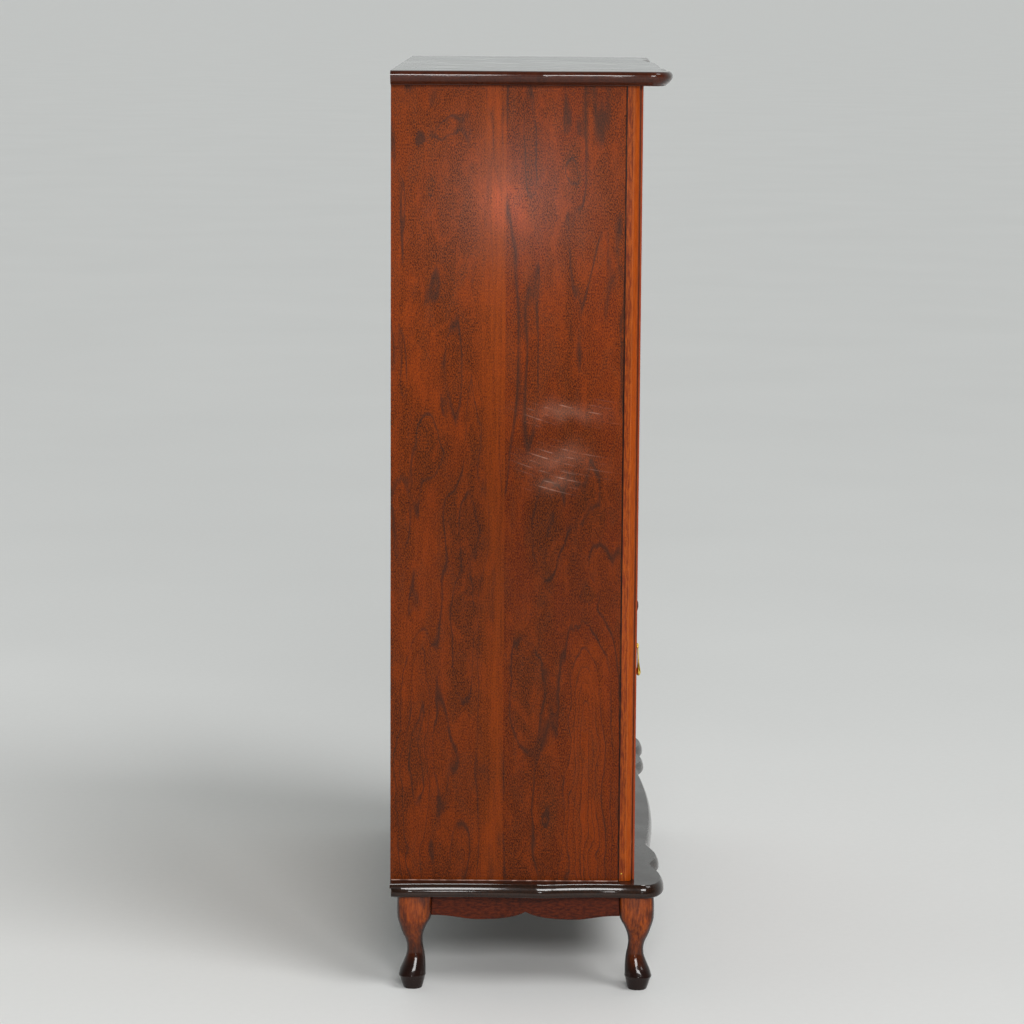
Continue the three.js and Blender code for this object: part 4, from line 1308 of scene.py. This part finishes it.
def world():
    """Even grey daylight, brighter beyond the far side of the cabinet than behind the camera."""
    made = bpy.data.worlds.new("studio")
    made.use_nodes = True
    tree = made.node_tree
    nodes, links = tree.nodes, tree.links
    nodes.clear()
    place = nodes.new("ShaderNodeTexCoord")
    parts = nodes.new("ShaderNodeSeparateXYZ")
    links.new(place.outputs["Generated"], parts.inputs[0])
    spread = nodes.new("ShaderNodeMapRange")
    spread.interpolation_type = "SMOOTHSTEP"
    for socket, value in SKY.items():
        spread.inputs[socket].default_value = value
    links.new(parts.outputs["X"], spread.inputs["Value"])
    sky = nodes.new("ShaderNodeBackground")
    sky.inputs["Color"].default_value = (0.96, 1.0, 0.985, 1)
    links.new(spread.outputs[0], sky.inputs["Strength"])
    out = nodes.new("ShaderNodeOutputWorld")
    links.new(sky.outputs[0], out.inputs["Surface"])
    bpy.context.scene.world = made


def shine(lamp, away, place=(0, 0, 0)):
    """Puts a lamp in its place. away points from what it lights to the lamp."""
    obj = placed(lamp.name, lamp)
    obj.location = place
    obj.rotation_euler = Vector(away).to_track_quat("Z", "Y").to_euler()


def sun(name, away, strength, softness):
    """A soft, distant light, whose softness is in degrees."""
    lamp = bpy.data.lights.new(name, "SUN")
    lamp.energy, lamp.angle = strength, math.radians(softness)
    shine(lamp, away)


def glow(place, target, cone, energy):
    """A narrow lamp that throws one soft round patch of light. cone is in degrees."""
    lamp = bpy.data.lights.new("glow", "SPOT")
    lamp.energy, lamp.spot_size, lamp.spot_blend = energy, math.radians(cone), 1.0
    lamp.color, lamp.shadow_soft_size = (1, 0.5, 0.3), 0.01
    shine(lamp, Vector(place) - Vector(target), place)


def panel_light(name, place, width, height, energy):
    """A lamp with a flat face that looks at the middle of the cabinet."""
    lamp = bpy.data.lights.new(name, "AREA")
    lamp.shape, lamp.size, lamp.size_y, lamp.energy = "RECTANGLE", width, height, energy
    shine(lamp, Vector(place) - Vector((0, 0, CAD_HIGH.z / 2)), place)


LENS, SENSOR = 118.94, 36  # millimetres
CAMERA_PLACE = (-4.7403, 0.0164, 1.3056)
YAW, PITCH, ROLL = 0.0016, 0.1542, 0.0063  # radians to the left, down and round from level along X


def camera():
    """Just above the top and square to the left side, with a long lens."""
    data = bpy.data.cameras.new("camera")
    data.lens, data.sensor_width, data.clip_end = LENS, SENSOR, 4 * HORIZON
    forward = Vector((math.cos(PITCH) * math.cos(YAW), math.cos(PITCH) * math.sin(YAW), -math.sin(PITCH)))
    level = Vector((math.sin(YAW), -math.cos(YAW), 0))
    upright = level.cross(forward)
    right = level * math.cos(ROLL) + upright * math.sin(ROLL)
    up = upright * math.cos(ROLL) - level * math.sin(ROLL)
    obj = placed("camera", data)
    turn = Matrix((right, up, -forward)).transposed().to_4x4()
    obj.matrix_world = Matrix.Translation(CAMERA_PLACE) @ turn
    bpy.context.scene.camera = obj


def studio():
    floor()
    world()
    sun("key_light", (-0.5, -0.6, 1.0), 1.3, 28)
    panel_light("softbox", (-4.3, -0.5, 2.1), 1.6, 0.9, 110)
    panel_light("flash", (-4.75, 0.02, 0.78), 0.24, 0.2, 5.5)
    glow((-4.0, 0.03, 1.3), (CAD_LOW.x, 0.034, 1.033), 1.3, 240)
    camera()
    bpy.context.scene.view_settings.view_transform = "Standard"


studio()
boards()
case()
underframe()
doors()
pivots()
handle()
lock()
keeper()
ball_catches()
